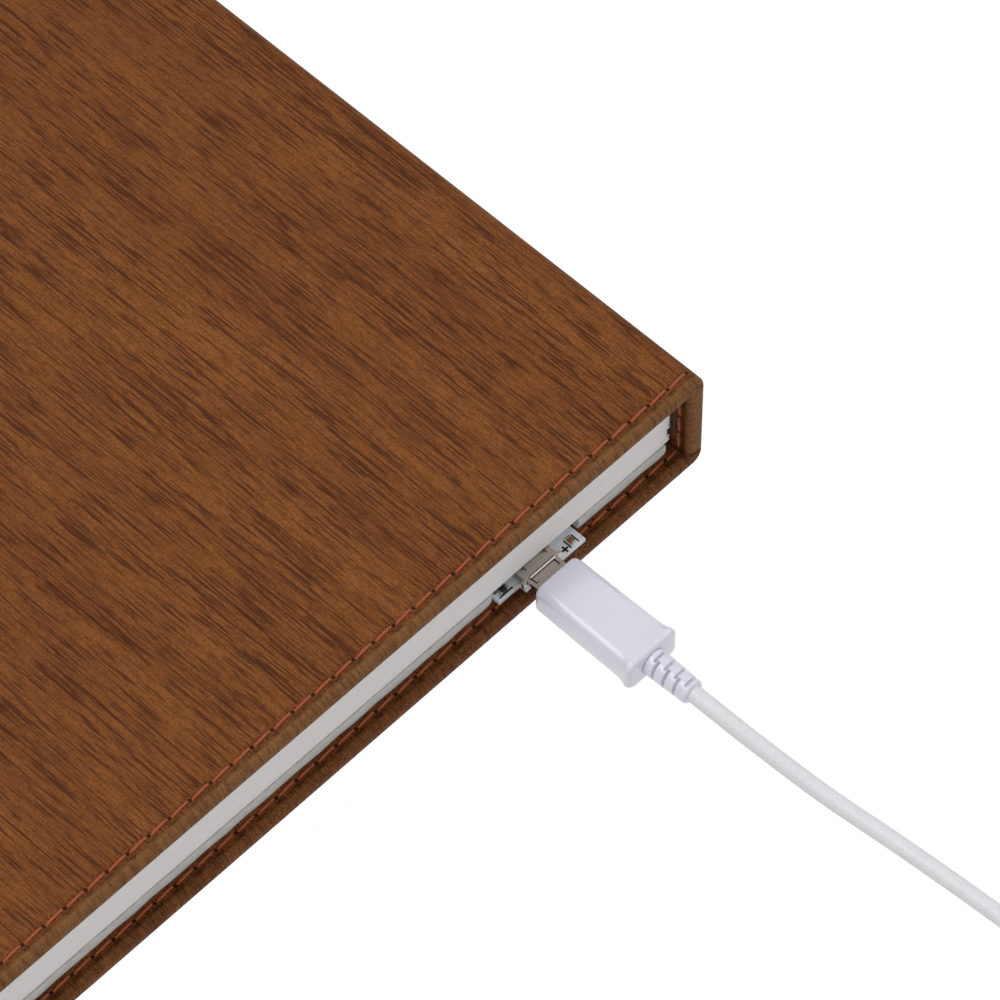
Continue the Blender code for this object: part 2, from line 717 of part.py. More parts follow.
def wires():
    """Two wires from the battery and two to the light strip, along the channels of the tray."""
    z = max(BOARD_TOP_Z, TRAY_FRAME_Z + STRIP_THICKNESS) + SEAT_GAP + WIRE_RADIUS
    made = []
    for side, colour in ((-1, "red_wire"), (1, "black_wire")):
        x = PORT_X + side * WIRE_SPACING / 2
        made.append(
            tube(
                "battery_" + colour,
                [(x, BOARD_BACK_Y - OVERRUN, z), (x, BATTERY_LOW_Y - SEAT_GAP, z)],
                WIRE_RADIUS,
                colour,
            )
        )
        y = BOARD_BACK_Y - WIRE_BEND + side * WIRE_SPACING / 2
        made.append(
            tube(
                "led_" + colour,
                [(BOARD_HIGH_X - OVERRUN / 2, y, z), (STRIP_X - STRIP_WIDTH / 4, y, z)],
                WIRE_RADIUS,
                colour,
            )
        )
    return made


def shield(width, height):
    """The micro-B outline about its middle: a rectangle with its two lower corners cut."""
    half, low, high = width / 2, -height / 2, height / 2
    cut = PORT_CHAMFER
    outline = [(-half + cut, low), (half - cut, low), (half, low + cut), (half, high), (-half, high)]
    outline.append((-half, low + cut))
    return [(PORT_X + x, PORT_Z + z) for x, z in outline]


def port():
    back_y = PORT_Y + PORT_DEPTH
    shell = prism("usb_receptacle", shield(PORT_WIDTH, PORT_HEIGHT), "Y", PORT_Y, back_y, "nickel")
    lip = prism(
        "port_lip",
        shield(PORT_WIDTH + 2 * PORT_LIP, PORT_HEIGHT + SEAT_GAP),
        "Y",
        PORT_Y - PORT_LIP_LENGTH / 2,
        PORT_Y + PORT_LIP_LENGTH / 2,
    )
    hole = shield(PORT_WIDTH - 2 * PORT_WALL, PORT_HEIGHT - 2 * PORT_WALL)
    boolean(shell, lip, "UNION")
    boolean(shell, prism("port_bore", hole, "Y", PORT_Y - OVERRUN, back_y + OVERRUN))
    inner_width = PORT_WIDTH - 2 * PORT_WALL - 2 * SEAT_GAP
    inner_height = PORT_HEIGHT - 2 * PORT_WALL - 2 * SEAT_GAP
    tongue = prism(
        "usb_tongue",
        shield(inner_width, inner_height),
        "Y",
        back_y - TONGUE_BLOCK,
        back_y,
        "insulator",
    )
    blade = block(
        "tongue_blade",
        (PORT_X - TONGUE_WIDTH / 2, back_y - TONGUE_BLOCK - TONGUE_LENGTH, PORT_Z - TONGUE_HEIGHT / 2),
        (PORT_X + TONGUE_WIDTH / 2, back_y - TONGUE_BLOCK / 2, PORT_Z + TONGUE_HEIGHT / 2),
    )
    boolean(tongue, blade, "UNION")
    return [shell, tongue]


def grip_section(y, width, height):
    """A rounded outline of the plug's grip at one place along it."""
    radius = min(GRIP_ROUND, height / 2, width / 2)
    low = (PORT_X - width / 2, PORT_Z - height / 2)
    high = (PORT_X + width / 2, PORT_Z + height / 2)
    return [(x, y, z) for x, z in rounded(low, high, (radius,) * 4, GRIP_SEGMENTS)]


def micro_plug():
    tip_y = PORT_Y + PLUG_INSERTED
    rear_y = GRIP_FRONT_Y - PLUG_BURIED
    shell = prism("plug_shell", shield(PLUG_WIDTH, PLUG_HEIGHT), "Y", rear_y, tip_y, "nickel")
    bore = shield(PLUG_WIDTH - 2 * PLUG_WALL, PLUG_HEIGHT - 2 * PLUG_WALL)
    boolean(shell, prism("plug_bore", bore, "Y", rear_y - OVERRUN, tip_y + OVERRUN))

    front_share, waist_share, flare_share, lip_share = 0.06, 0.62, 0.90, 0.97
    narrow_share, slim_share = 0.80, 0.82
    stations = (
        (0.0, GRIP_FRONT_WIDTH * narrow_share, GRIP_HEIGHT * slim_share),
        (front_share, GRIP_FRONT_WIDTH, GRIP_HEIGHT),
        (waist_share, (GRIP_FRONT_WIDTH + GRIP_REAR_WIDTH) / 2, GRIP_HEIGHT),
        (flare_share, GRIP_REAR_WIDTH, GRIP_HEIGHT),
        (lip_share, GRIP_REAR_WIDTH * lip_share, GRIP_HEIGHT * lip_share),
        (1.0, GRIP_REAR_WIDTH * narrow_share, GRIP_HEIGHT * slim_share),
    )
    sections = [
        grip_section(GRIP_FRONT_Y - share * GRIP_LENGTH, width, height)
        for share, width, height in stations
    ]
    grip = loft("plug_body", sections, "plug")
    pocket = block(
        "plug_pocket",
        (
            PORT_X - PLUG_WIDTH / 2 - PLUG_CLEARANCE,
            rear_y - PLUG_CLEARANCE,
            PORT_Z - PLUG_HEIGHT / 2 - PLUG_CLEARANCE,
        ),
        (
            PORT_X + PLUG_WIDTH / 2 + PLUG_CLEARANCE,
            GRIP_FRONT_Y + OVERRUN,
            PORT_Z + PLUG_HEIGHT / 2 + PLUG_CLEARANCE,
        ),
    )
    boolean(grip, pocket)
    start = (PORT_X, GRIP_REAR_Y - SEAT_GAP, PORT_Z)
    relief = ribbed_relief("plug_relief", start, (0, -1, 0), RELIEF_LENGTH - SEAT_GAP)
    return [shell, grip, relief]


def ribbed_relief(name, start, heading, length):
    """A tapered strain relief with grooves cut round it, turned from its profile."""
    profile = [(0, length)]
    pitch = length / (RELIEF_RIBS + 1)
    groove_share = 0.35
    for number in range(RELIEF_RIBS + 1):
        high = length - number * pitch
        radius = RELIEF_TIP_RADIUS + (RELIEF_RADIUS - RELIEF_TIP_RADIUS) * (number / RELIEF_RIBS)
        profile.append((radius, high))
        profile.append((radius, high - pitch * (1 - groove_share)))
        if number < RELIEF_RIBS:
            profile.append((radius - RELIEF_GROOVE, high - pitch * (1 - groove_share)))
            profile.append((radius - RELIEF_GROOVE, high - pitch))
    profile.append((profile[-1][0], 0))
    profile.append((0, 0))
    return turned(name, profile, "plug", start, heading)


def smooth(points, spacing):
    """Points at an even spacing along one smooth curve through the given ones."""
    dense = []
    padded = [points[0] * 2 - points[1]] + points + [points[-1] * 2 - points[-2]]
    samples = 24
    for a, b, c, d in zip(padded, padded[1:], padded[2:], padded[3:]):
        for step in range(samples):
            t = step / samples
            dense.append(
                b
                + (c - a) * (t / 2)
                + (a * 2 - b * 5 + c * 4 - d) * (t * t / 2)
                + (b * 3 - a - c * 3 + d) * (t * t * t / 2)
            )
    dense.append(points[-1])
    lengths = [0.0]
    for a, b in zip(dense, dense[1:]):
        lengths.append(lengths[-1] + (b - a).length)
    count = max(2, round(lengths[-1] / spacing))
    picked = []
    at = 0
    for number in range(count + 1):
        goal = lengths[-1] * number / count
        while at < len(lengths) - 2 and lengths[at + 1] < goal:
            at += 1
        span = lengths[at + 1] - lengths[at]
        share = (goal - lengths[at]) / span if span else 0
        picked.append(dense[at].lerp(dense[at + 1], share))
    return picked


def coil_points():
    """The coil: it spirals in on the lower layer, climbs in the half turn where it turns back, and
    spirals out on the upper layer, then runs straight to the USB-A plug's relief."""
    half_turn = COIL_POINTS // 2
    last = 2 * COIL_TURNS * COIL_POINTS + half_turn
    middle = last / 2
    inner = COIL_OUTER - COIL_STEP * COIL_TURNS - COIL_STEP / 4
    points = []
    for step in range(last + 1):
        angle = math.pi + 2 * math.pi * step / COIL_POINTS
        radius = inner + COIL_STEP * abs(step - middle) / COIL_POINTS
        climb = min(max((step - middle) / half_turn + 1 / 2, 0), 1)
        ease = climb * climb * (3 - 2 * climb)
        points.append(
            Vector(
                (
                    COIL_CENTRE_X + radius * math.cos(angle),
                    COIL_CENTRE_Y + radius * math.sin(angle),
                    COIL_Z + COIL_STEP * ease,
                )
            )
        )
    return points


def end_run_points():
    """From the coil's last turn to the USB-A plug, level with its middle."""
    first = coil_points()[-1]
    relief_y = COIL_CENTRE_Y + END_RUN
    drop_share = 0.7
    straight = relief_y - 2 * CORD_RADIUS
    return [
        first,
        Vector((USB_A_X, first.y + (straight - first.y) * drop_share, USB_A_Z + CORD_GAP)),
        Vector((USB_A_X, straight, USB_A_Z)),
        Vector((USB_A_X, relief_y - CORD_GAP, USB_A_Z)),
    ]


def least_gap(points):
    """The smallest gap that the cord leaves to itself, past its own bends."""
    least = COIL_OUTER
    near = COIL_POINTS // 3
    for i, a in enumerate(points):
        for b in points[i + near:]:
            least = min(least, (a - b).length - 2 * CORD_RADIUS)
    return least


def lead():
    """The cord from the plug's relief to the coil, the coil, its tie and the USB-A plug."""
    exit_y = RELIEF_END_Y - CORD_GAP
    coil = coil_points()
    start = coil[0]
    route = [
        Vector((PORT_X, exit_y, PORT_Z)),
        Vector((PORT_X, exit_y - 2 * CORD_RADIUS, PORT_Z)),
        Vector((0.0487, -0.1520, 0.0042)),
        Vector((0.0503, -0.1660, 0.0019)),
        Vector((0.0518, -0.1820, 0.0017)),
        Vector((0.0530, -0.2000, 0.0017)),
        Vector((0.0534, -0.2160, 0.0019)),
        start + Vector((0, 2 * CORD_RADIUS + CORD_GAP, 0)),
        start + Vector((0, CORD_GAP, 0)),
    ]
    free = smooth(route, 2.2 * CORD_RADIUS)
    cord = tube("charging_cord", free, CORD_RADIUS, "cord")
    end_run = smooth(end_run_points(), 2.5 * CORD_RADIUS)
    wound = coil + end_run[1:]
    length = sum((b - a).length for a, b in zip(wound, wound[1:]))
    length += sum((b - a).length for a, b in zip(free, free[1:]))
    print(f"lead length {length:.4f} m, least gap of the coil to itself {least_gap(coil) * 1000:.3f} mm")
    coiled = tube("cord_coil", wound, CORD_RADIUS, "cord", 1)
    return [cord, coiled, coil_tie()] + usb_a_plug()


def coil_tie():
    """A strap round the turns, where they lie side by side in two layers."""
    quarter = COIL_STEP / 4
    inner = COIL_CENTRE_Y + COIL_OUTER - COIL_STEP * (COIL_TURNS - 1) - quarter - 2 * quarter
    outer = COIL_CENTRE_Y + COIL_OUTER - quarter - quarter
    reach = CORD_RADIUS + TIE_GAP + quarter
    low = (inner - reach, COIL_Z - CORD_RADIUS - TIE_GAP)
    high = (outer + reach, COIL_Z + COIL_STEP + CORD_RADIUS + TIE_GAP)
    hole = rounded(low, high, (TIE_ROUND,) * 4)
    rim_low = [value - TIE_THICKNESS for value in low]
    rim_high = [value + TIE_THICKNESS for value in high]
    rim = rounded(rim_low, rim_high, (TIE_ROUND + TIE_THICKNESS,) * 4)
    x = COIL_CENTRE_X
    tie = prism("coil_tie", rim, "X", x - TIE_WIDTH / 2, x + TIE_WIDTH / 2, "tie")
    boolean(tie, prism("tie_hole", hole, "X", x - TIE_WIDTH, x + TIE_WIDTH))
    return tie


def usb_a_plug():
    """The plug on the far end, lying beside the coil and pointing back towards the book."""
    relief_y = COIL_CENTRE_Y + END_RUN
    grip_y = relief_y + USB_A_RELIEF_LENGTH
    front_y = grip_y + USB_A_GRIP_LENGTH
    relief = ribbed_relief(
        "usb_a_relief",
        (USB_A_X, grip_y - SEAT_GAP, USB_A_Z),
        (0, -1, 0),
        USB_A_RELIEF_LENGTH - SEAT_GAP,
    )
    half_width, half_height = USB_A_GRIP_WIDTH / 2, USB_A_GRIP_HEIGHT / 2
    grip = block(
        "usb_a_body",
        (USB_A_X - half_width, grip_y, USB_A_Z - half_height),
        (USB_A_X + half_width, front_y, USB_A_Z + half_height),
        "plug",
        USB_A_GRIP_ROUND,
        "Y",
    )
    shell_half = USB_A_WIDTH / 2
    shell_low = (USB_A_X - shell_half, front_y - USB_A_BURIED, USB_A_Z - USB_A_HEIGHT / 2)
    shell_high = (USB_A_X + shell_half, front_y + USB_A_LENGTH, USB_A_Z + USB_A_HEIGHT / 2)
    shell = block("usb_a_shell", shell_low, shell_high, "nickel", USB_A_WALL, "Y")
    bore_low = [value + USB_A_WALL for value in shell_low]
    bore_high = [value - USB_A_WALL for value in shell_high]
    bore_low[1], bore_high[1] = shell_low[1] - OVERRUN, shell_high[1] + OVERRUN
    boolean(shell, block("usb_a_bore", bore_low, bore_high))
    slot_y = front_y + USB_A_LENGTH / 2
    for side in (-1, 1):
        slot_x = USB_A_X + side * USB_A_WIDTH / 4
        low = (slot_x - USB_A_SLOT / 2, slot_y, USB_A_Z)
        high = (slot_x + USB_A_SLOT / 2, slot_y + USB_A_SLOT, USB_A_Z + USB_A_HEIGHT)
        boolean(shell, block(f"usb_a_slot_{side}", low, high))
    pocket_low = [value - PLUG_CLEARANCE for value in shell_low]
    pocket_high = [value + PLUG_CLEARANCE for value in shell_high]
    boolean(grip, block("usb_a_pocket", pocket_low, pocket_high))
    tongue = block(
        "usb_a_tongue",
        (bore_low[0] + SEAT_GAP, shell_low[1], bore_low[2] + SEAT_GAP),
        (bore_high[0] - SEAT_GAP, shell_high[1] - USB_A_WALL, bore_low[2] + USB_A_TONGUE_HEIGHT),
        "insulator",
    )
    return [relief, grip, shell, tongue]


def build_lamp():
    clear_scene()
    root = pivot("book_lamp", (0, 0, 0))
    spine_pivot = pivot("spine_fold", (HINGE_X, 0, HINGE_Z), root)
    cover_pivot = pivot("cover_fold", (HINGE_X, 0, TOP_HINGE_Z), spine_pivot)
    plug_slide = pivot("plug_slide", (PORT_X, PORT_Y, PORT_Z), root)

    carry(root, *cover("bottom", 0, True, magnet_seats()))
    switch_seat = (BOARD_LOW_X + BOARD_STEP_WIDTH / 2, BOARD_BACK_Y - OVERRUN - SWITCH_LENGTH / 2)
    top_z = BOOK_THICKNESS - COVER_THICKNESS
    carry(cover_pivot, *cover("top", top_z, False, magnet_seats() + [switch_seat]))
    inset = LEATHER_THICKNESS + LAMINATE_GAP
    carry(cover_pivot, magnet("switch_magnet", switch_seat, top_z + inset))
    carry(spine_pivot, *spine())
    carry(root, *tray())
    carry(root, *charging_board())
    carry(root, *light_strip())
    carry(root, *wires())
    carry(root, *port())
    leaves(root, spine_pivot, cover_pivot)
    carry(plug_slide, *micro_plug())
    carry(plug_slide, *lead())
    for obj in LAMP.objects:
        if obj.type == "MESH":
            obj.data.shade_smooth()
            obj.data.set_sharp_from_angle(angle=math.radians(35))


build_lamp()
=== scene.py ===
"""Folding book lamp: leather covers on a folding spine, a fan of paper leaves and a charging lead."""

import math

import bmesh
import bpy
from bpy.props import FloatProperty, FloatVectorProperty, IntProperty, PointerProperty
from mathutils import Matrix, Vector


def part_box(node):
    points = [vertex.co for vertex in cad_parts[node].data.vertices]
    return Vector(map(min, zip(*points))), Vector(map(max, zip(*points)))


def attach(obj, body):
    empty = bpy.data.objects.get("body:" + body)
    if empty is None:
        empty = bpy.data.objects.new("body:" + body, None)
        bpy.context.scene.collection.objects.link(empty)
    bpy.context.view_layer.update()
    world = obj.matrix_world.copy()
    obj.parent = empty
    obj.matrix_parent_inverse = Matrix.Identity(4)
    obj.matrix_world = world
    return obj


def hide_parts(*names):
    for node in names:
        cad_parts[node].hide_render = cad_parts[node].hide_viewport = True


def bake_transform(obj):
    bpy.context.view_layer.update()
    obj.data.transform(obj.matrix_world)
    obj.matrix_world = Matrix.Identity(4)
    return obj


bl_info = {
    "name": "Folding book lamp",
    "version": (1, 0, 0),
    "blender": (4, 5, 0),
    "location": "View3D > Sidebar > Book lamp",
    "description": "Builds a folding book lamp piece by piece",
    "category": "Object",
}

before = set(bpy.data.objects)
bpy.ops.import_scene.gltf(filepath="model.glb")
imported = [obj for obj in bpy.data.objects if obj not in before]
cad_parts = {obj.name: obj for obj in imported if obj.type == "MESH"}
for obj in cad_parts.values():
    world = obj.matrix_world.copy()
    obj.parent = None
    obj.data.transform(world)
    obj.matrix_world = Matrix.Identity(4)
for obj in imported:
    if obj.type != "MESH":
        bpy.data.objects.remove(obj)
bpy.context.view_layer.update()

# Where the CAD pieces are
TOP_LOW, TOP_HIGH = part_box("top_leather")
BOTTOM_LOW, BOTTOM_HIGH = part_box("bottom_leather")
SPINE_LOW, SPINE_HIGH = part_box("spine_leather")
PORT_LOW, PORT_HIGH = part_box("usb_receptacle")
GRIP_LOW, GRIP_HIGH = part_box("plug_body")
RELIEF_LOW, RELIEF_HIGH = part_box("plug_relief")
BOARD_LOW, BOARD_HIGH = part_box("charger_board")
FORE_X, TAIL_Y, HEAD_Y, SPINE_X = TOP_LOW.x, TOP_LOW.y, TOP_HIGH.y, SPINE_HIGH.x
PORT_X = (PORT_LOW.x + PORT_HIGH.x) / 2
PORT_Z = (GRIP_LOW.z + GRIP_HIGH.z) / 2
JOINT_X = SPINE_LOW.x - 0.0017
TOP_JOINT_Z = SPINE_HIGH.z - 0.0013
BOTTOM_JOINT_Z = SPINE_LOW.z + 0.0013


def colour(name, text, value):
    return FloatVectorProperty(
        name=name, description=text, subtype="COLOR", size=3, min=0, max=1, default=value
    )


def length(name, text, value):
    return FloatProperty(
        name=name, description=text, subtype="DISTANCE", unit="LENGTH", precision=5, default=value
    )


class LampSizes(bpy.types.PropertyGroup):
    edge_round: length("Edge round", "Radius of the leather at the covers' edges", 0.0011)
    spine_round: length("Spine round", "Radius of the outer edges along the spine", 0.0026)
    corner_round: length("Corner round", "Radius of the covers' outer corners", 0.0030)
    leather: length("Leather", "Thickness of the leather", 0.0006)
    turn_in: length("Turn-in", "Width of the leather folded inwards", 0.0090)
    stitch_pitch: length("Stitch pitch", "Distance from one stitch to the next", 0.00446)
    stitch_inset: length("Stitch inset", "Distance of the stitching from the edge", 0.0027)
    thread_radius: length("Thread", "Radius of the sewing thread", 0.00024)
    channel_depth: length("Channel depth", "How deep the thread pulls the leather in", 0.00022)
    cord_radius: length("Cord radius", "Radius of the white cord", 0.0015)
    leaf_gap: length("Leaf gap", "Air between two closed leaves", 0.00003)
    ply_gap: length("Ply gap", "Air between the two plies of one leaf", 0.00005)
    relief_slots: IntProperty(
        name="Relief slots", description="Slots cut round the strain relief", default=7, min=2, max=12
    )


class LampColours(bpy.types.PropertyGroup):
    leather_light: colour("Leather, light", "Light parts of the wood print", (0.322, 0.113, 0.0265))
    leather_mid: colour("Leather, middle", "Ground of the wood print", (0.232, 0.074, 0.0172))
    leather_streak: colour("Leather, streaks", "Dark streaks of the wood print", (0.074, 0.019, 0.0052))
    # leather_band: lighter colour at the covers' edges, mixed in more on the upper cover as painted light
    # and less below as painted shade
    leather_band: colour("Leather, edge", "The lighter edge of the covers, partly painted light", (0.285, 0.130, 0.046))
    thread: colour("Thread", "Sewing thread", (0.43, 0.076, 0.009))
    # hole: painted shade in the needle holes
    hole: colour("Needle hole", "The dark needle holes", (0.026, 0.008, 0.004))
    paper: colour("Paper", "Leaves", (0.88, 0.86, 0.84))
    card: colour("Card", "Tray layers", (0.72, 0.71, 0.68))
    grey_board: colour("Grey board", "Boards in the covers", (0.27, 0.25, 0.22))
    liner: colour("Liner", "Paper inside the covers", (0.52, 0.49, 0.44))
    plug: colour("Plug", "Plug and relief", (0.79, 0.79, 0.89))
    cord: colour("Cord", "White cord", (0.84, 0.82, 0.85))
    board: colour("Circuit board", "White solder resist", (0.86, 0.90, 0.95))
    nickel: colour("Nickel", "Port and plug metal", (0.50, 0.46, 0.41))


# Modelling by hand: selecting, cutting and finishing

def take(*objects):
    """Only these objects are selected, and the last of them is active."""
    bpy.ops.object.select_all(action="DESELECT")
    for obj in objects:
        obj.select_set(True)
    bpy.context.view_layer.objects.active = objects[-1]


def start(name):
    """Name the primitive that was just added and set its place in its mesh."""
    obj = bpy.context.object
    obj.name = name
    obj.data.name = name
    take(obj)
    bpy.ops.object.transform_apply(location=True, rotation=True, scale=True)
    return obj


def block(name, low, high):
    bpy.ops.object.select_all(action="DESELECT")
    size = [b - a for a, b in zip(low, high)]
    middle = [(a + b) / 2 for a, b in zip(low, high)]
    bpy.ops.mesh.primitive_cube_add(size=1, location=middle, scale=size)
    return start(name)


def about(middle, half):
    return middle - half, middle + half


def slab(x, y, z):
    """A block from its two limits along each axis."""
    return block("slab", *zip(x, y, z))


def rod(name, radius, ends, sides=32):
    """A cylinder between two points."""
    a, b = Vector(ends[0]), Vector(ends[1])
    turn = (b - a).to_track_quat("Z", "Y").to_euler()
    bpy.ops.object.select_all(action="DESELECT")
    bpy.ops.mesh.primitive_cylinder_add(
        vertices=sides, radius=radius, depth=(b - a).length, location=(a + b) / 2, rotation=turn
    )
    return start(name)


def edit(obj, kind="VERT"):
    take(obj)
    bpy.ops.object.mode_set(mode="EDIT")
    bpy.ops.mesh.select_mode(type=kind)


def close_edit():
    bpy.ops.object.mode_set(mode="OBJECT")


def extrude(way):
    bpy.ops.mesh.extrude_region_move(TRANSFORM_OT_translate={"value": way})


def pick(obj, kind, test):
    """In edit mode: select what passes the test, given its middle and its normal or direction."""
    bpy.ops.mesh.select_mode(type=kind)
    bpy.ops.mesh.select_all(action="DESELECT")
    bm = bmesh.from_edit_mesh(obj.data)
    count = 0
    if kind == "FACE":
        places = [(face, face.calc_center_median(), face.normal) for face in bm.faces]
    else:
        ends = [(edge, *(v.co for v in edge.verts)) for edge in bm.edges]
        places = [(edge, (a + b) / 2, (b - a).normalized()) for edge, a, b in ends]
    for element, middle, heading in places:
        if test(middle, heading):
            element.select_set(True)
            count += 1
    bmesh.update_edit_mesh(obj.data)
    return count


def bevel(obj, test, offset, segments):
    """Round the edges whose middle and direction pass the test."""
    edit(obj, "EDGE")
    if pick(obj, "EDGE", test):
        bpy.ops.mesh.bevel(offset=offset, segments=segments, affect="EDGES")
    close_edit()


def slices(obj, axis, places):
    """Cut the mesh across an axis at these places, and keep both sides."""
    edit(obj)
    normal = [1.0 if n == axis else 0.0 for n in range(3)]
    for place in places:
        bpy.ops.mesh.select_all(action="SELECT")
        bpy.ops.mesh.bisect(plane_co=[n * place for n in normal], plane_no=normal)
    close_edit()


def reshape(obj, rule):
    """Move each point by a rule of its place."""
    for vert in obj.data.vertices:
        vert.co = rule(vert.co.copy())
    obj.data.update()


def modify(obj, kind, **settings):
    take(obj)
    bpy.ops.object.modifier_add(type=kind)
    modifier = obj.modifiers[-1]
    for key, value in settings.items():
        setattr(modifier, key, value)
    bpy.ops.object.modifier_apply(modifier=modifier.name)


def cut(obj, *tools):
    for tool in tools:
        modify(obj, "BOOLEAN", object=tool, operation="DIFFERENCE", solver="EXACT")
        bpy.data.objects.remove(tool)


def joined(name, parts):
    take(*parts)
    bpy.ops.object.join()
    obj = bpy.context.object
    obj.name = name
    obj.data.name = name
    return obj


def smooth(obj, degrees=32):
    take(obj)
    bpy.ops.object.shade_smooth_by_angle(angle=math.radians(degrees))


def finished(obj, material, body, *nodes, degrees=32, name=None):
    """Smooth it, give it its material, let it ride its body and stand for its CAD nodes."""
    if not obj.data.materials:
        obj.data.materials.append(material)
    if obj.type == "MESH":
        smooth(obj, degrees)
    if body:
        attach(obj, body)
    if nodes:
        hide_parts(*nodes)
    return obj


def node_copy(node, name):
    """A CAD node's shape as a new piece, its loose triangles merged and its flat faces whole."""
    mesh = bpy.data.objects[node].data.copy()
    mesh.materials.clear()
    mesh.transform(bpy.data.objects[node].matrix_world)
    obj = bpy.data.objects.new(name, mesh)
    bpy.context.scene.collection.objects.link(obj)
    edit(obj)
    bpy.ops.mesh.select_all(action="SELECT")
    bpy.ops.mesh.remove_doubles(threshold=0.000002)
    bpy.ops.mesh.dissolve_limited(angle_limit=math.radians(2))
    close_edit()
    return obj


def eased(obj, width, segments=2, angle=40):
    """Soften the sharp edges."""
    modify(
        obj,
        "BEVEL",
        width=width,
        segments=segments,
        limit_method="ANGLE",
        angle_limit=math.radians(angle),
        harden_normals=False,
    )
    return obj


# Materials

class Finish:
    """A material and the few nodes that the finishes here are made of."""

    def __init__(self, name, roughness=0.5, metallic=0.0, **inputs):
        self.material = bpy.data.materials.new(name)
        self.material.use_nodes = True
        self.nodes = self.material.node_tree.nodes
        self.links = self.material.node_tree.links
        self.shader = self.nodes["Principled BSDF"]
        self.shader.inputs["Roughness"].default_value = roughness
        self.shader.inputs["Metallic"].default_value = metallic
        for key, value in inputs.items():
            self.shader.inputs[key.replace("_", " ")].default_value = value
        self.place = self.nodes.new("ShaderNodeTexCoord").outputs["Object"]
        self.axes = None

    def put(self, socket, value):
        if isinstance(value, bpy.types.NodeSocket):
            self.links.new(value, socket)
        else:
            socket.default_value = value

    def math(self, operation, a, b=0.0):
        node = self.nodes.new("ShaderNodeMath")
        node.operation = operation
        self.put(node.inputs[0], a)
        self.put(node.inputs[1], b)
        return node.outputs[0]

    def times(self, a, b):
        return self.math("MULTIPLY", a, b)

    def plus(self, a, b):
        return self.math("ADD", a, b)

    def minus(self, a, b):
        return self.math("SUBTRACT", a, b)

    def axis(self, number):
        if self.axes is None:
            node = self.nodes.new("ShaderNodeSeparateXYZ")
            self.put(node.inputs[0], self.place)
            self.axes = node.outputs
        return self.axes[number]

    def noise(self, scale, detail=4.0, roughness=0.55, distortion=0.0):
        """Noise with this many features to the metre along each axis."""
        stretch = self.nodes.new("ShaderNodeMapping")
        self.put(stretch.inputs["Vector"], self.place)
        stretch.inputs["Scale"].default_value = scale
        node = self.nodes.new("ShaderNodeTexNoise")
        self.put(node.inputs["Vector"], stretch.outputs[0])
        node.inputs["Scale"].default_value = 1.0
        node.inputs["Detail"].default_value = detail
        node.inputs["Roughness"].default_value = roughness
        node.inputs["Distortion"].default_value = distortion
        return node.outputs["Fac"]

    def span(self, value, low, high, to_low=0.0, to_high=1.0):
        node = self.nodes.new("ShaderNodeMapRange")
        node.interpolation_type = "SMOOTHSTEP"
        self.put(node.inputs["Value"], value)
        node.inputs["From Min"].default_value = low
        node.inputs["From Max"].default_value = high
        node.inputs["To Min"].default_value = to_low
        node.inputs["To Max"].default_value = to_high
        return node.outputs["Result"]

    def mix(self, share, a, b):
        node = self.nodes.new("ShaderNodeMix")
        node.data_type = "RGBA"
        self.put(node.inputs["Factor"], share)
        self.put(node.inputs["A"], self.full(a))
        self.put(node.inputs["B"], self.full(b))
        return node.outputs["Result"]

    def full(self, value):
        if isinstance(value, bpy.types.NodeSocket):
            return value
        return (*value[:3], 1.0)

    def bump(self, height, distance, strength=1.0, under=None):
        node = self.nodes.new("ShaderNodeBump")
        node.inputs["Strength"].default_value = strength
        node.inputs["Distance"].default_value = distance
        self.put(node.inputs["Height"], height)
        if under is not None:
            self.put(node.inputs["Normal"], under)
        return node.outputs[0]

    def done(self, base=None, roughness=None, normal=None):
        if base is not None:
            self.put(self.shader.inputs["Base Color"], self.full(base))
        if roughness is not None:
            self.put(self.shader.inputs["Roughness"], roughness)
        if normal is not None:
            self.put(self.shader.inputs["Normal"], normal)
        return self.material


def sizes():
    return bpy.context.scene.lamp_sizes


def colours():
    return bpy.context.scene.lamp_colours


def known(name, make):
    """The finish of that name, made the first time it is asked for."""
    name += "_finish"
    return bpy.data.materials.get(name) or make(name)


def shade(value, factor):
    return tuple(min(1.0, c * factor) for c in value)


# From one thread of the canvas emboss to the next but one
WEAVE_PITCH = 0.00046


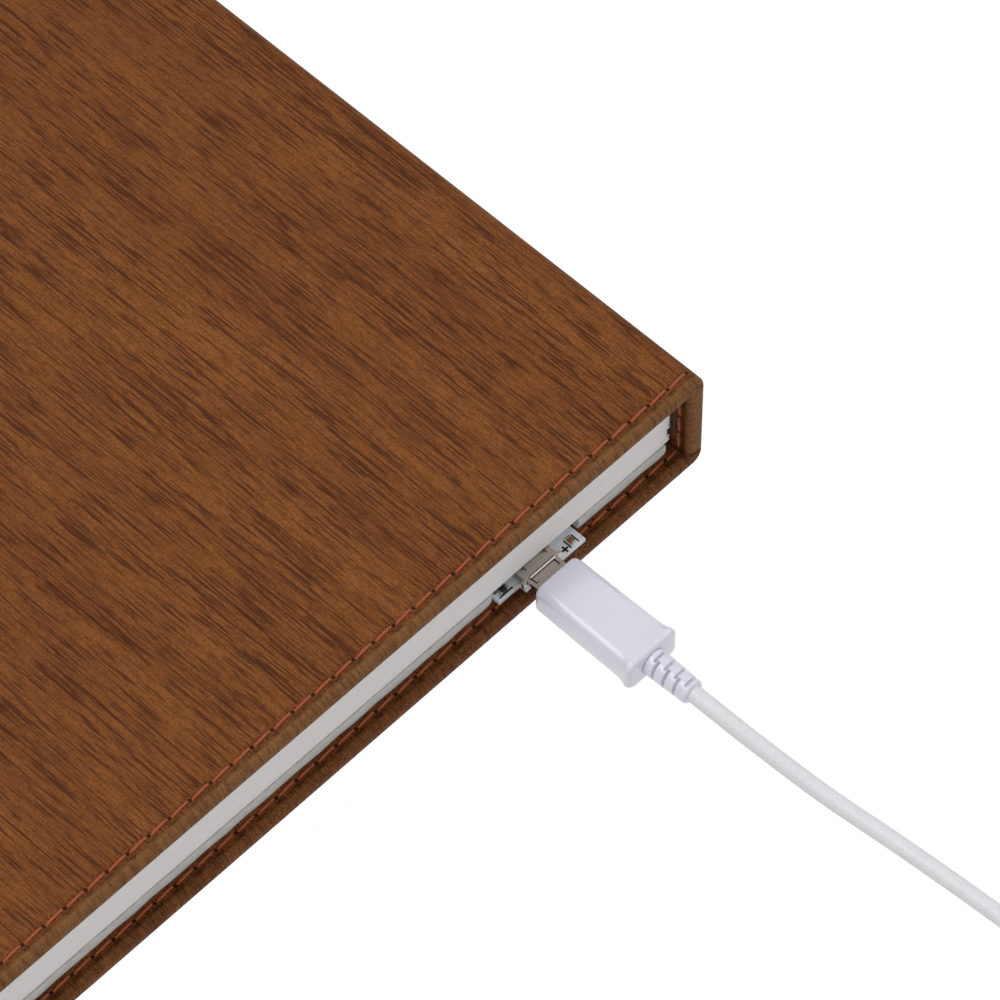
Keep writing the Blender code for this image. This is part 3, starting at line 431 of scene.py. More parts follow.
def make_leather(name):
    """Printed leather: a wood print that runs along Y, a fine canvas emboss, needle holes, creased edges,
    with painted shade in the emboss, holes, stitch pulls and creases and painted light on the upper edges.
    """
    size, paint = sizes(), colours()
    f = Finish(name, roughness=0.6, Specular_IOR_Level=0.12)
    x, y, z = f.axis(0), f.axis(1), f.axis(2)
    end = f.math("ABSOLUTE", y)

    # The canvas emboss
    weave_step = 2 * math.pi / WEAVE_PITCH
    across = f.math("SINE", f.times(x, weave_step))
    along = f.math("SINE", f.times(y, weave_step))
    upward = f.math("SINE", f.times(z, weave_step))
    weave = f.plus(f.times(across, along), f.times(upward, 0.4))

    # The wood print: a light ground, soft bands, darker veins and many fine dark lines along the book
    broad = f.noise((70, 6, 70), 3.0, 0.5, 0.4)
    streaks = f.noise((330, 15, 330), 4.0, 0.6, 0.4)
    cloth = f.noise((150, 110, 150), 3.0, 0.6, 0.3)
    fine = f.noise((3000, 95, 3000), 2.0, 0.6, 0.12)
    hair = f.noise((5600, 260, 5600), 2.0, 0.6, 0.1)
    speck = f.noise((2700, 2100, 2700), 2.0, 0.7, 0.0)
    ground = f.plus(f.times(f.span(broad, 0.34, 0.68), 0.6), f.times(cloth, 0.4))
    base = f.mix(ground, paint.leather_light, paint.leather_mid)
    veins = f.times(f.span(streaks, 0.50, 0.74), 0.24)
    base = f.mix(veins, base, paint.leather_streak)
    dense = f.times(f.minus(streaks, 0.5), 0.11)
    dense = f.plus(dense, f.times(f.minus(cloth, 0.5), 0.20))
    dense = f.plus(dense, f.times(weave, 0.02))
    lines = f.span(f.plus(fine, dense), 0.545, 0.60)
    base = f.mix(f.times(lines, 0.80), base, shade(paint.leather_streak, 0.75))
    hairs = f.span(f.plus(hair, dense), 0.52, 0.58)
    base = f.mix(f.times(hairs, 0.50), base, shade(paint.leather_streak, 0.75))
    base = f.mix(f.times(f.span(speck, 0.44, 0.60), 0.36), base, paint.leather_streak)

    # The edges: a lighter band, mixed in more on the upper cover than on the lower cover and spine as
    # painted light and shade, and creased
    tail_band = f.span(end, HEAD_Y - 0.0022, HEAD_Y - 0.0010)
    fore_band = f.span(x, FORE_X + 0.0010, FORE_X + 0.0022, 1.0, 0.0)
    band = f.math("MAXIMUM", tail_band, fore_band)
    # The band's share grows with height: painted light on the upper cover, painted shade on the lower cover
    # and spine
    painted_light_share = f.span(z, BOTTOM_HIGH.z - 0.0002, BOTTOM_HIGH.z + 0.0002, 0.16, 0.45)
    painted_light_share = f.plus(painted_light_share, f.span(z, SPINE_HIGH.z - 0.003, SPINE_HIGH.z, 0.0, 0.42))
    base = f.mix(f.times(band, painted_light_share), base, paint.leather_band)
    inside = f.span(x, SPINE_LOW.x - 0.0001, SPINE_LOW.x + 0.0001)
    on_spine = f.times(inside, f.span(z, SPINE_LOW.z, SPINE_LOW.z + 0.0003))
    on_spine = f.times(on_spine, f.span(z, SPINE_HIGH.z - 0.0003, SPINE_HIGH.z, 1.0, 0.0))
    creases_x = f.noise((1300, 160, 240), 3.0, 0.6, 0.5)
    creases_y = f.noise((160, 1300, 240), 3.0, 0.6, 0.5)
    creases_z = f.noise((160, 160, 900), 3.0, 0.6, 0.5)
    creases = f.mix(on_spine, f.mix(tail_band, creases_y, creases_x), creases_z)
    # Creases darkened in the edge band: painted shade in the creases, weaker on the spine
    crease_shade_depth = f.minus(0.40, f.times(on_spine, 0.24))
    crease_shade = f.times(f.span(creases, 0.52, 0.36), band)
    base = f.mix(f.times(crease_shade, crease_shade_depth), base, paint.leather_streak)

    # The needle holes along the stitching, filled with painted shade, and the pull round each stitch,
    # darkened as painted shade
    pitch, inset = size.stitch_pitch, size.stitch_inset
    tail_row = f.minus(end, HEAD_Y - inset)
    fore_row = f.minus(x, FORE_X + inset)
    holes = None
    pulls = None
    rows = ((tail_row, f.minus(x, STITCH_X)), (fore_row, y), (tail_row, f.minus(z, SPINE_LOW.z)))
    shares = (f.minus(1.0, on_spine), f.minus(1.0, on_spine), on_spine)
    for (across, along), share in zip(rows, shares):
        phase = f.math("FRACT", f.plus(f.math("DIVIDE", along, pitch), 100.5))
        along = f.times(f.minus(phase, 0.5), pitch)
        square = f.plus(f.times(across, across), f.times(along, along))
        gap = f.math("SQRT", square)
        hole = f.times(f.span(gap, 0.00012, 0.00040, 1.0, 0.0), share)
        pull = f.times(f.span(gap, 0.0002, 0.0016, 1.0, 0.0), share)
        holes = hole if holes is None else f.math("MAXIMUM", holes, hole)
        pulls = pull if pulls is None else f.math("MAXIMUM", pulls, pull)
    # Painted shade in the dimple pulled in round each stitch
    base = f.mix(f.times(pulls, 0.18), base, paint.leather_streak)
    # Painted shade in the needle holes
    base = f.mix(holes, base, paint.hole)

    # Height: canvas emboss, grain, creases and the pull of each stitch
    rough_grain = f.noise((1900, 1500, 1900), 3.0, 0.6)
    normal = f.bump(weave, 0.00004, 0.9)
    normal = f.bump(rough_grain, 0.00016, 0.8, normal)
    normal = f.bump(f.times(creases, band), 0.0013, 1.0, normal)
    depth = f.plus(pulls, f.times(holes, 1.4))
    normal = f.bump(f.times(depth, -1.0), 0.0003, 1.0, normal)
    # The canvas emboss darkened in its hollows: painted shade
    base = f.mix(f.times(f.span(weave, -1.0, 1.0, 1.0, 0.0), 0.22), base, paint.leather_streak)
    gloss = f.span(streaks, 0.3, 0.8, 0.58, 0.68)
    return f.done(base, gloss, normal)


def make_thread(name):
    """Two-ply sewing thread: a twist that slants round each stitch, from its own map."""
    f = Finish(name, roughness=0.55, Sheen_Weight=0.3, Sheen_Roughness=0.4)
    uv = f.nodes.new("ShaderNodeUVMap")
    uv.uv_map = "twist"
    parts = f.nodes.new("ShaderNodeSeparateXYZ")
    f.put(parts.inputs[0], uv.outputs[0])
    turn = f.plus(f.times(parts.outputs[0], 6.0), parts.outputs[1])
    ply = f.math("ABSOLUTE", f.math("SINE", f.times(turn, math.pi * 2)))
    paint = colours()
    fuzz = f.noise((9000, 9000, 9000), 2.0)
    # Darker in the grooves between the twisted plies: painted shade
    base = f.mix(f.span(ply, 0.0, 0.5), shade(paint.thread, 0.35), paint.thread)
    base = f.mix(f.times(fuzz, 0.35), base, shade(paint.thread, 1.7))
    return f.done(base, None, f.bump(ply, 0.00012, 0.9))


def make_paper(name):
    """Leaves: soft white paper, its cut edges faintly lined and its faces faintly fibrous."""
    f = Finish(name, roughness=0.82, Specular_IOR_Level=0.3, Subsurface_Weight=0.15)
    f.shader.inputs["Subsurface Radius"].default_value = (0.002, 0.0018, 0.0015)
    fibre = f.noise((420, 420, 1100), 4.0, 0.6)
    lines = f.noise((6, 6, 5200), 2.0, 0.5)
    cloud = f.noise((30, 30, 60), 2.0)
    base = f.mix(f.span(fibre, 0.3, 0.7), colours().paper, shade(colours().paper, 1.02))
    # Faint dark lines across the cut edges, between the fine sheets: painted shade
    base = f.mix(f.times(f.span(lines, 0.55, 0.75), 0.05), base, shade(colours().paper, 0.80))
    base = f.mix(f.times(cloud, 0.08), base, shade(colours().paper, 0.88))
    normal = f.bump(lines, 0.00001, 0.3, f.bump(fibre, 0.000015, 0.3))
    return f.done(base, None, normal)


def make_card(name):
    """Tray layers: pressed card, mottled, with dark flecks."""
    f = Finish(name, roughness=0.88, Specular_IOR_Level=0.25)
    pulp = f.noise((520, 520, 900), 5.0, 0.65)
    flecks = f.noise((2600, 2600, 2600), 2.0)
    base = f.mix(f.span(pulp, 0.3, 0.7), shade(colours().card, 0.84), colours().card)
    base = f.mix(f.times(f.span(flecks, 0.62, 0.74), 0.4), base, shade(colours().card, 0.45))
    return f.done(base, None, f.bump(pulp, 0.00018, 0.7))


def make_grey_board(name):
    f = Finish(name, roughness=0.9, Specular_IOR_Level=0.25)
    pulp = f.noise((380, 380, 700), 5.0, 0.65)
    flecks = f.noise((1700, 1700, 1700), 2.0)
    base = f.mix(pulp, shade(colours().grey_board, 0.75), shade(colours().grey_board, 1.2))
    base = f.mix(f.times(f.span(flecks, 0.60, 0.72), 0.5), base, shade(colours().grey_board, 0.4))
    return f.done(base, None, f.bump(pulp, 0.0002, 0.6))


def make_liner(name):
    """Laid endpaper: faint lines along the book, and a soft fibre."""
    f = Finish(name, roughness=0.85, Specular_IOR_Level=0.28)
    laid = f.math("SINE", f.times(f.axis(0), 2 * math.pi / 0.0009))
    fibre = f.noise((700, 500, 700), 4.0, 0.6)
    base = f.mix(f.span(fibre, 0.3, 0.7), shade(colours().liner, 0.9), shade(colours().liner, 1.08))
    base = f.mix(f.times(f.span(laid, 0.2, 1.0), 0.10), base, shade(colours().liner, 0.7))
    normal = f.bump(laid, 0.00001, 0.5, f.bump(fibre, 0.00008, 0.6))
    return f.done(base, None, normal)


def make_plug(name):
    """Glossy moulded plastic, with a very faint flow in its surface."""
    f = Finish(name, roughness=0.2, Coat_Weight=0.45, Coat_Roughness=0.08, Subsurface_Weight=0.12)
    f.shader.inputs["Subsurface Radius"].default_value = (0.0012, 0.0012, 0.0014)
    flow = f.noise((160, 60, 160), 2.0, 0.5)
    base = f.mix(f.span(flow, 0.3, 0.7), colours().plug, shade(colours().plug, 0.97))
    return f.done(base, f.span(flow, 0.3, 0.7, 0.17, 0.24), f.bump(flow, 0.00008, 0.35))


def make_cord(name):
    """Soft matt cord jacket with a faint extrusion grain."""
    f = Finish(name, roughness=0.42, Coat_Weight=0.1, Coat_Roughness=0.3, Subsurface_Weight=0.1)
    f.shader.inputs["Subsurface Radius"].default_value = (0.001, 0.001, 0.001)
    grain = f.noise((1400, 1400, 1400), 2.0)
    base = f.mix(f.span(grain, 0.35, 0.7), colours().cord, shade(colours().cord, 0.95))
    return f.done(base, None, f.bump(grain, 0.00003, 0.4))


def make_nickel(name):
    """Nickel-plated sheet with fine rolling lines and a dull bloom."""
    f = Finish(name, roughness=0.3, metallic=1.0)
    lines = f.noise((5200, 240, 5200), 3.0)
    bloom = f.noise((260, 260, 260), 2.0)
    base = f.mix(f.span(bloom, 0.35, 0.7), colours().nickel, shade(colours().nickel, 0.9))
    return f.done(base, f.span(bloom, 0.3, 0.75, 0.26, 0.36), f.bump(lines, 0.000004, 0.4))


def make_resist(name):
    """White solder resist over copper tracks, a little glossy."""
    f = Finish(name, roughness=0.36, Coat_Weight=0.2, Coat_Roughness=0.15)
    tracks = f.nodes.new("ShaderNodeTexBrick")
    f.put(tracks.inputs["Vector"], f.place)
    tracks.inputs["Scale"].default_value = 260.0
    tracks.inputs["Mortar Size"].default_value = 0.03
    tracks.inputs["Mortar Smooth"].default_value = 0.3
    tracks.inputs["Color1"].default_value = (*colours().board, 1)
    tracks.inputs["Color2"].default_value = (*shade(colours().board, 0.96), 1)
    tracks.inputs["Mortar"].default_value = (*shade(colours().board, 0.86), 1)
    speck = f.noise((2400, 2400, 2400), 2.0)
    base = f.mix(f.times(speck, 0.12), tracks.outputs["Color"], shade(colours().board, 0.8))
    return f.done(base, None, f.bump(speck, 0.00002, 0.4))


def plain(name, base, roughness, metallic=0.0, grain=(900, 900, 900), depth=0.00003, vary=0.85, **inputs):
    """A moulded, plated or printed finish: its colour, a slight mottle and a fine grain."""

    def make(key):
        f = Finish(key, roughness=roughness, metallic=metallic, **inputs)
        mottle = f.noise(grain, 3.0, 0.6)
        varied = f.mix(f.span(mottle, 0.3, 0.7), shade(base, vary), base)
        gloss = f.span(mottle, 0.25, 0.8, max(0.03, roughness - 0.06), min(1, roughness + 0.08))
        return f.done(varied, gloss, f.bump(mottle, depth, 0.5))

    return known(name, make)


def leather():
    return known("printed_leather", make_leather)


def paper():
    return known("leaf_paper", make_paper)


def nickel():
    return known("plated_nickel", make_nickel)


def resist():
    return known("white_resist", make_resist)


# The camera and the cord

CAMERA_PLACE = Vector((-0.399195, -0.532709, 0.943146))
CAMERA_AZIMUTH = math.radians(-45.76)
CAMERA_ELEVATION = math.radians(56.04)
CAMERA_ROLL = math.radians(-0.21)
CAMERA_LENS = 252.41
STITCH_X = 0.07871


def build_camera():
    a, e = CAMERA_AZIMUTH, CAMERA_ELEVATION
    back = Vector((math.sin(a) * math.cos(e), -math.cos(a) * math.cos(e), math.sin(e)))
    right = Vector((0, 0, 1)).cross(back).normalized()
    up = back.cross(right)
    c, s = math.cos(CAMERA_ROLL), math.sin(CAMERA_ROLL)
    right, up = right * c + up * s, up * c - right * s
    bpy.ops.object.camera_add()
    camera = bpy.context.object
    camera.name = "camera"
    camera.data.lens = CAMERA_LENS
    camera.data.sensor_width = 36.0
    camera.data.clip_start = 0.01
    turn = Matrix((right, up, back)).transposed().to_4x4()
    camera.matrix_world = Matrix.Translation(CAMERA_PLACE) @ turn
    bpy.context.scene.camera = camera


def through(points, spacing):
    """Points at an even spacing along one smooth curve through the given ones."""
    dense = []
    padded = [points[0] * 2 - points[1]] + points + [points[-1] * 2 - points[-2]]
    for a, b, c, d in zip(padded, padded[1:], padded[2:], padded[3:]):
        for step in range(24):
            t = step / 24
            dense.append(
                b
                + (c - a) * (t / 2)
                + (a * 2 - b * 5 + c * 4 - d) * (t * t / 2)
                + (b * 3 - a - c * 3 + d) * (t * t * t / 2)
            )
    dense.append(points[-1])
    lengths = [0.0]
    for a, b in zip(dense, dense[1:]):
        lengths.append(lengths[-1] + (b - a).length)
    count = max(2, round(lengths[-1] / spacing))
    picked, at = [], 0
    for number in range(count + 1):
        goal = lengths[-1] * number / count
        while at < len(lengths) - 2 and lengths[at + 1] < goal:
            at += 1
        span = lengths[at + 1] - lengths[at]
        picked.append(dense[at].lerp(dense[at + 1], (goal - lengths[at]) / span if span else 0))
    return picked


COIL_CENTRE = Vector((0.0765, -0.2350, 0))
COIL_TURNS = 3
COIL_POINTS = 24
COIL_STEP = 0.00345
COIL_Z = 0.00225
COIL_OUTER = 0.023175
USB_A_X = COIL_CENTRE.x + COIL_OUTER
USB_A_Z = 0.00395
USB_A_RELIEF_Y = COIL_CENTRE.y + 0.0170


def coil():
    """Inwards on the lower layer, up in one half turn, and outwards on the upper layer."""
    half = COIL_POINTS // 2
    last = 2 * COIL_TURNS * COIL_POINTS + half
    middle = last / 2
    inner = COIL_OUTER - COIL_STEP * COIL_TURNS - COIL_STEP / 4
    points = []
    for step in range(last + 1):
        angle = math.pi + 2 * math.pi * step / COIL_POINTS
        radius = inner + COIL_STEP * abs(step - middle) / COIL_POINTS
        climb = min(max((step - middle) / half + 0.5, 0), 1)
        ease = climb * climb * (3 - 2 * climb)
        turn = Vector((radius * math.cos(angle), radius * math.sin(angle), COIL_Z + COIL_STEP * ease))
        points.append(COIL_CENTRE + turn)
    return points


def cord_line():
    """The whole line: out of the relief, down to the table, into the coil and on to the far plug."""
    wound = coil()
    first = wound[0]
    exit_y = RELIEF_LOW.y
    route = [
        Vector((PORT_X, exit_y, PORT_Z)),
        Vector((PORT_X, exit_y - 0.0033, PORT_Z)),
        Vector((0.0487, -0.1520, 0.0042)),
        Vector((0.0503, -0.1660, 0.0019)),
        Vector((0.0518, -0.1820, 0.0017)),
        Vector((0.0530, -0.2000, 0.0017)),
        Vector((0.0534, -0.2160, 0.0019)),
        first + Vector((0, 0.0033, 0)),
        first,
    ]
    straight = USB_A_RELIEF_Y - 0.003
    last = wound[-1]
    end = [
        last,
        Vector((USB_A_X, last.y + (straight - last.y) * 0.7, USB_A_Z + 0.0003)),
        Vector((USB_A_X, straight, USB_A_Z)),
        Vector((USB_A_X, USB_A_RELIEF_Y, USB_A_Z)),
    ]
    return through(route, 0.0033)[:-1] + wound + through(end, 0.00375)[1:]


def build_cord():
    line = cord_line()
    bpy.ops.object.select_all(action="DESELECT")
    bpy.ops.curve.primitive_bezier_curve_add()
    cord = start("charging_lead")
    spline = cord.data.splines[0]
    spline.bezier_points.add(len(line) - len(spline.bezier_points))
    for point, place in zip(spline.bezier_points, line):
        point.co = place
        point.handle_left_type = point.handle_right_type = "AUTO"
    cord.data.resolution_u = 3
    cord.data.bevel_depth = sizes().cord_radius
    cord.data.bevel_resolution = 5
    cord.data.use_fill_caps = True
    cord.data.materials.append(known("cord_jacket", make_cord))
    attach(cord, "lead")
    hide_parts("charging_cord", "cord_coil")
    total = sum((b - a).length for a, b in zip(line, line[1:]))
    return cord, line, total


# The leather

def row_gap(x, y, inset):
    """How far a place on a cover lies from the nearest line of stitches."""
    low_x, low_y, high_y = FORE_X + inset, TAIL_Y + inset, HEAD_Y - inset
    gaps = [abs(y - low_y) if x > low_x else 1, abs(y - high_y) if x > low_x else 1]
    if low_y < y < high_y:
        gaps.append(abs(x - low_x))
    return min(gaps)


# Half the width of the channel that the thread presses into the leather
CHANNEL_REACH = 0.0011


def sunk_by(gap):
    """How deep the leather lies at this distance from the row."""
    return sizes().channel_depth * (0.5 + 0.5 * math.cos(math.pi * gap / CHANNEL_REACH))


def channel(obj, low_z, high_z):
    """Press the leather in along the stitching, on both faces of a cover."""
    size = sizes()

    def rule(co):
        gap = row_gap(co.x, co.y, size.stitch_inset)
        if gap > CHANNEL_REACH:
            return co
        depth = sunk_by(gap)
        if abs(co.z - high_z) < 0.00004:
            co.z -= depth
        elif abs(co.z - low_z) < 0.00004:
            co.z += depth
        return co

    reshape(obj, rule)


def stitch_cuts(obj, ends_only=False):
    inset = sizes().stitch_inset
    offsets = (-CHANNEL_REACH, -0.00075, -0.0004, 0, 0.0004, 0.00075, CHANNEL_REACH)
    slices(obj, 1, [TAIL_Y + inset + d for d in offsets] + [HEAD_Y - inset + d for d in offsets])
    if not ends_only:
        slices(obj, 0, [FORE_X + inset + d for d in offsets])


def build_cover(name, body, low_z, high_z, faces_up, node):
    """A cover's leather: rounded, pressed in along its stitches, hollow for its board, open at the liner."""
    size = sizes()
    skin = block(name, (FORE_X, TAIL_Y, low_z), (JOINT_X, HEAD_Y, high_z))
    bevel(skin, lambda m, d: m.x < FORE_X + 1e-5 and abs(d.z) > 0.9, size.corner_round, 7)
    bevel(skin, lambda m, d: abs(d.z) < 0.1 and m.x < JOINT_X - 1e-5, size.edge_round, 5)
    stitch_cuts(skin)
    channel(skin, low_z, high_z)
    wall = size.leather
    along = (TAIL_Y + wall, HEAD_Y - wall)
    hollow = slab((FORE_X + wall, JOINT_X + wall), along, (low_z + wall, high_z - wall))
    inner = (low_z - 0.001, low_z + wall + 0.001) if faces_up else (high_z - wall - 0.001, high_z + 0.001)
    turn = size.turn_in
    window = slab((FORE_X + turn, SPINE_LOW.x - turn), (TAIL_Y + turn, HEAD_Y - turn), inner)
    cut(skin, hollow, window)
    finished(skin, leather(), body, node, name="leather")


def build_joint_corner(name, bodies, top):
    """The leather that turns from a cover into the spine."""
    size = sizes()
    if top:
        low_z, high_z, joint_z = TOP_LOW.z, TOP_HIGH.z, TOP_JOINT_Z
        face_z, outer_z, sign = low_z, high_z, -1
    else:
        low_z, high_z, joint_z = BOTTOM_LOW.z, BOTTOM_HIGH.z, BOTTOM_JOINT_Z
        face_z, outer_z, sign = high_z, low_z, 1
    corner = block(name, (JOINT_X, TAIL_Y, low_z), (SPINE_X, HEAD_Y, high_z))
    slices(corner, 0, [SPINE_LOW.x])
    edit(corner, "FACE")
    pick(corner, "FACE", lambda m, n: n.z * sign > 0.9 and m.x > SPINE_LOW.x)
    extrude((0, 0, joint_z - face_z))
    close_edit()
    bevel(
        corner,
        lambda m, d: abs(d.y) > 0.9 and abs(m.x - SPINE_X) < 1e-5 and abs(m.z - outer_z) < 1e-5,
        size.spine_round,
        8,
    )
    bevel(
        corner,
        lambda m, d: abs(d.y) < 0.1
        and abs(abs(m.y) - HEAD_Y) < 1e-5
        and m.x > JOINT_X + 1e-5
        and abs(m.z - joint_z) > 1e-5,
        size.edge_round,
        5,
    )
    stitch_cuts(corner, ends_only=True)
    slices(corner, 0, [SPINE_LOW.x - 0.0009, SPINE_LOW.x + 0.0009, SPINE_LOW.x + 0.0018])
    steps = [0.3, 0.6, 0.9, 1.2, 1.8, 2.4]
    if top:
        slices(corner, 2, [high_z - s * 0.001 for s in steps] + [low_z - 0.0005, low_z - 0.0010])
    else:
        crease = SPINE_LOW.z - 0.00015
        slices(corner, 2, [crease - 0.0005, crease - 0.0001, crease, crease + 0.0001, crease + 0.0005])

    def rule(co):
        """The channel of the stitches on the outer face, and the crease at the lower joint."""
        gap = abs(abs(co.y) - (HEAD_Y - size.stitch_inset))
        flat = co.x < SPINE_X - size.spine_round + 0.0002 and abs(co.z - outer_z) < 0.00004
        if gap < CHANNEL_REACH and flat:
            co.z += sunk_by(gap) * sign
        if not top:
            near = max(0.0, 1 - abs(co.z - crease) / 0.0004)
            depth = 0.0008 * near
            if abs(co.y) > HEAD_Y - 0.0012:
                co.y -= math.copysign(depth, co.y)
            if co.x > SPINE_X - 0.0001:
                co.x -= depth * 0.6
        return co

    reshape(corner, rule)
    corner.data.materials.append(leather())
    smooth(corner)
    blend_joint(corner, bodies)


def blend_joint(piece, bodies):
    """Bake a piece's placement into its mesh."""
    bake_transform(piece)


def build_spine():
    size = sizes()
    low = (SPINE_LOW.x, TAIL_Y, BOTTOM_JOINT_Z)
    high = (SPINE_X, HEAD_Y, TOP_JOINT_Z)
    skin = block("spine_wrap", low, high)
    bevel(skin, lambda m, d: abs(d.z) > 0.9, size.edge_round, 5)
    stitch_cuts(skin, ends_only=True)
    slices(skin, 2, [low[2] + (high[2] - low[2]) * n / 10 for n in range(1, 10)])

    def rule(co):
        gap = abs(abs(co.y) - (HEAD_Y - size.stitch_inset))
        if gap < CHANNEL_REACH and co.x < SPINE_LOW.x + 0.00004:
            co.x += sunk_by(gap)
        return co

    reshape(skin, rule)
    wall = size.leather
    along = (TAIL_Y + wall, HEAD_Y - wall)
    hollow = slab((low[0] + wall, high[0] - wall), along, (low[2] - wall, high[2] + wall))
    liner_low, liner_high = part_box("spine_liner")
    window = slab(
        (low[0] - 0.001, low[0] + wall + 0.0005),
        (liner_low.y - 0.0002, liner_high.y + 0.0002),
        (liner_low.z - 0.0002, liner_high.z + 0.0002),
    )
    cut(skin, hollow, window)
    finished(skin, leather(), "spine", "spine_leather", name="leather")


# The stitching

def one_stitch():
    """A stitch along X at the origin: a thread that rises from one hole and dives into the next."""
    size = sizes()
    reach = size.stitch_pitch / 2 - 0.00012
    stitch = rod("stitch", size.thread_radius, ((-reach, 0, 0), (reach, 0, 0)), 8)
    slices(stitch, 0, [reach * s for s in (-0.9, -0.76, -0.5, 0, 0.5, 0.76, 0.9)])

    def rule(co):
        share = abs(co.x) / reach
        rise = 0.00020 - 0.00060 * max(0.0, share - 0.62) ** 2 / 0.1444
        thin = 1 - 0.35 * share**3
        return Vector((co.x, co.y * thin * 1.08 + co.x * 0.07, co.z * thin + rise))

    twist = stitch.data.uv_layers.new(name="twist")
    for loop in stitch.data.loops:
        co = stitch.data.vertices[loop.vertex_index].co
        twist.data[loop.index].uv = (
            (co.x + reach) / (2 * reach),
            math.atan2(co.z, co.y) / (2 * math.pi) + 0.5,
        )
    reshape(stitch, rule)
    for layer in [l for l in stitch.data.uv_layers if l.name != "twist"]:
        stitch.data.uv_layers.remove(layer)
    smooth(stitch, 60)
    stitch.data.materials.append(known("sewing_thread", make_thread))
    return stitch


def stitch_row(pattern, count, middle, along, outward, share=1.0):
    """A row of stitches: the one stitch copied along a line, turned to lie on its face."""
    take(pattern)
    bpy.ops.object.duplicate()
    row = bpy.context.object
    pitch = sizes().stitch_pitch
    along, outward = Vector(along), Vector(outward)
    modify(
        row,
        "ARRAY",
        count=count,
        use_relative_offset=False,
        use_constant_offset=True,
        constant_offset_displace=(pitch, 0, 0),
    )
    side = outward.cross(along)
    turn = Matrix((along * share, side, outward)).transposed().to_4x4()
    shift = Matrix.Translation(Vector(middle) - along * pitch * (count - 1) / 2)
    row.data.transform(shift @ turn)
    return row


def build_stitching():
    size = sizes()
    pitch, inset, sunk = size.stitch_pitch, size.stitch_inset, size.channel_depth
    pattern = one_stitch()
    count_x = int((STITCH_X - FORE_X - inset) / pitch)
    count_y = int((HEAD_Y - TAIL_Y - 2 * inset) / pitch)
    count_z = int((SPINE_HIGH.z - SPINE_LOW.z) / pitch)
    middle_x = STITCH_X - count_x * pitch / 2
    middle_z = SPINE_LOW.z + count_z * pitch / 2
    ends = TAIL_Y + inset, HEAD_Y - inset
    along_x, along_y, along_z = (1, 0, 0), (0, 1, 0), (0, 0, 1)

    for cover, low_z, high_z, bodies in (
        ("top", TOP_LOW.z, TOP_HIGH.z, ("spine", "top_cover")),
        ("bottom", BOTTOM_LOW.z, BOTTOM_HIGH.z, ("bottom_cover", "spine")),
    ):
        rows, corners = [], []
        for z, up in ((high_z - sunk, 1), (low_z + sunk, -1)):
            # The stitch at the corner is shorter on the inside
            share = 1.0 if (up == 1) == (cover == "top") else 0.64
            for y in ends:
                rows.append(stitch_row(pattern, count_x, (middle_x, y, z), along_x, (0, 0, up)))
                place = (STITCH_X + share * pitch / 2, y, z)
                corners.append(stitch_row(pattern, 1, place, along_x, (0, 0, up), share))
            rows.append(stitch_row(pattern, count_y, (FORE_X + inset, 0, z), along_y, (0, 0, up)))
        thread = joined(cover + "_stitches", rows)
        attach(thread, cover + "_cover")
        turned = joined(cover + "_corner_stitches", corners)
        blend_joint(turned, bodies)

    faces = ((SPINE_LOW.x + sunk, (-1, 0, 0)), (SPINE_X, (1, 0, 0)))
    rows = [
        stitch_row(pattern, count_z, (x, y, middle_z), along_z, outward)
        for y in ends
        for x, outward in faces
    ]
    thread = joined("spine_stitches", rows)
    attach(thread, "spine")
    bpy.data.objects.remove(pattern)


# Boards, liners and magnets

BOARD_CORNER = 0.0026
MAGNET_SEAT = 0.0042


def build_boards():
    grey = known("grey_board", make_grey_board)
    for side in ("bottom", "top"):
        low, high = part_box(side + "_board")
        board = block(side + "_card", low, (JOINT_X - 0.0006, high.y, high.z))
        bevel(board, lambda m, d: abs(d.z) > 0.9 and m.x < 0, BOARD_CORNER, 4)
        seats = [f"{side}_magnet_1", f"{side}_magnet_2"] + (["switch_magnet"] if side == "top" else [])
        for seat in seats:
            x, y, _ = sum(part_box(seat), Vector()) / 2
            cut(board, rod("seat", MAGNET_SEAT, ((x, y, low.z - 0.001), (x, y, high.z + 0.001))))
        eased(board, 0.00012, 2)
        finished(board, grey, side + "_cover", side + "_board", name="board")
    low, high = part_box("spine_board")
    ends = BOTTOM_JOINT_Z + 0.0004, TOP_JOINT_Z - 0.0004
    board = block("spine_card", (low.x, low.y, ends[0]), (high.x, high.y, ends[1]))
    eased(board, 0.0002, 2)
    finished(board, grey, "spine", "spine_board", name="board")

    endpaper = known("endpaper", make_liner)
    cloth = plain("spine_cloth", (0.085, 0.036, 0.016), 0.85, 0.0, (2600, 2600, 2600), 0.00004, 0.7)
    for node, body, finish in (
        ("bottom_liner", "bottom_cover", endpaper),
        ("top_liner", "top_cover", endpaper),
        ("spine_liner", "spine", cloth),
        ("binding_strip", "spine", cloth),
    ):
        low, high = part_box(node)
        sheet = block(node + "_sheet", low, high)
        thin = min(b - a for a, b in zip(low, high))
        eased(sheet, thin * 0.3, 2)
        finished(sheet, finish, body, node, name="liner")

    plated = plain("magnet_plating", (0.56, 0.56, 0.57), 0.24, 1.0, (1800, 1800, 1800), 0.00001)
    for node, body in (
        ("bottom_magnet_1", "bottom_cover"),
        ("bottom_magnet_2", "bottom_cover"),
        ("top_magnet_1", "top_cover"),
        ("top_magnet_2", "top_cover"),
        ("switch_magnet", "top_cover"),
    ):
        low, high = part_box(node)
        x, y, _ = (low + high) / 2
        disc = rod(node + "_disc", (high.x - low.x) / 2, ((x, y, low.z), (x, y, high.z)), 40)
        eased(disc, 0.00018, 3)
        finished(disc, plated, body, node, name="magnet")


# The leaves and the tray

LEAF_COUNT = 15
MIDDLE_LEAF = 8
# Leaves whose neighbour turns on another body end a little earlier at the binding
EARLY_LEAVES = (3, 4, 12, 13)
EARLY_END, LEAF_END = 0.0013, 0.0007
TRAY_CORNER = 0.0020


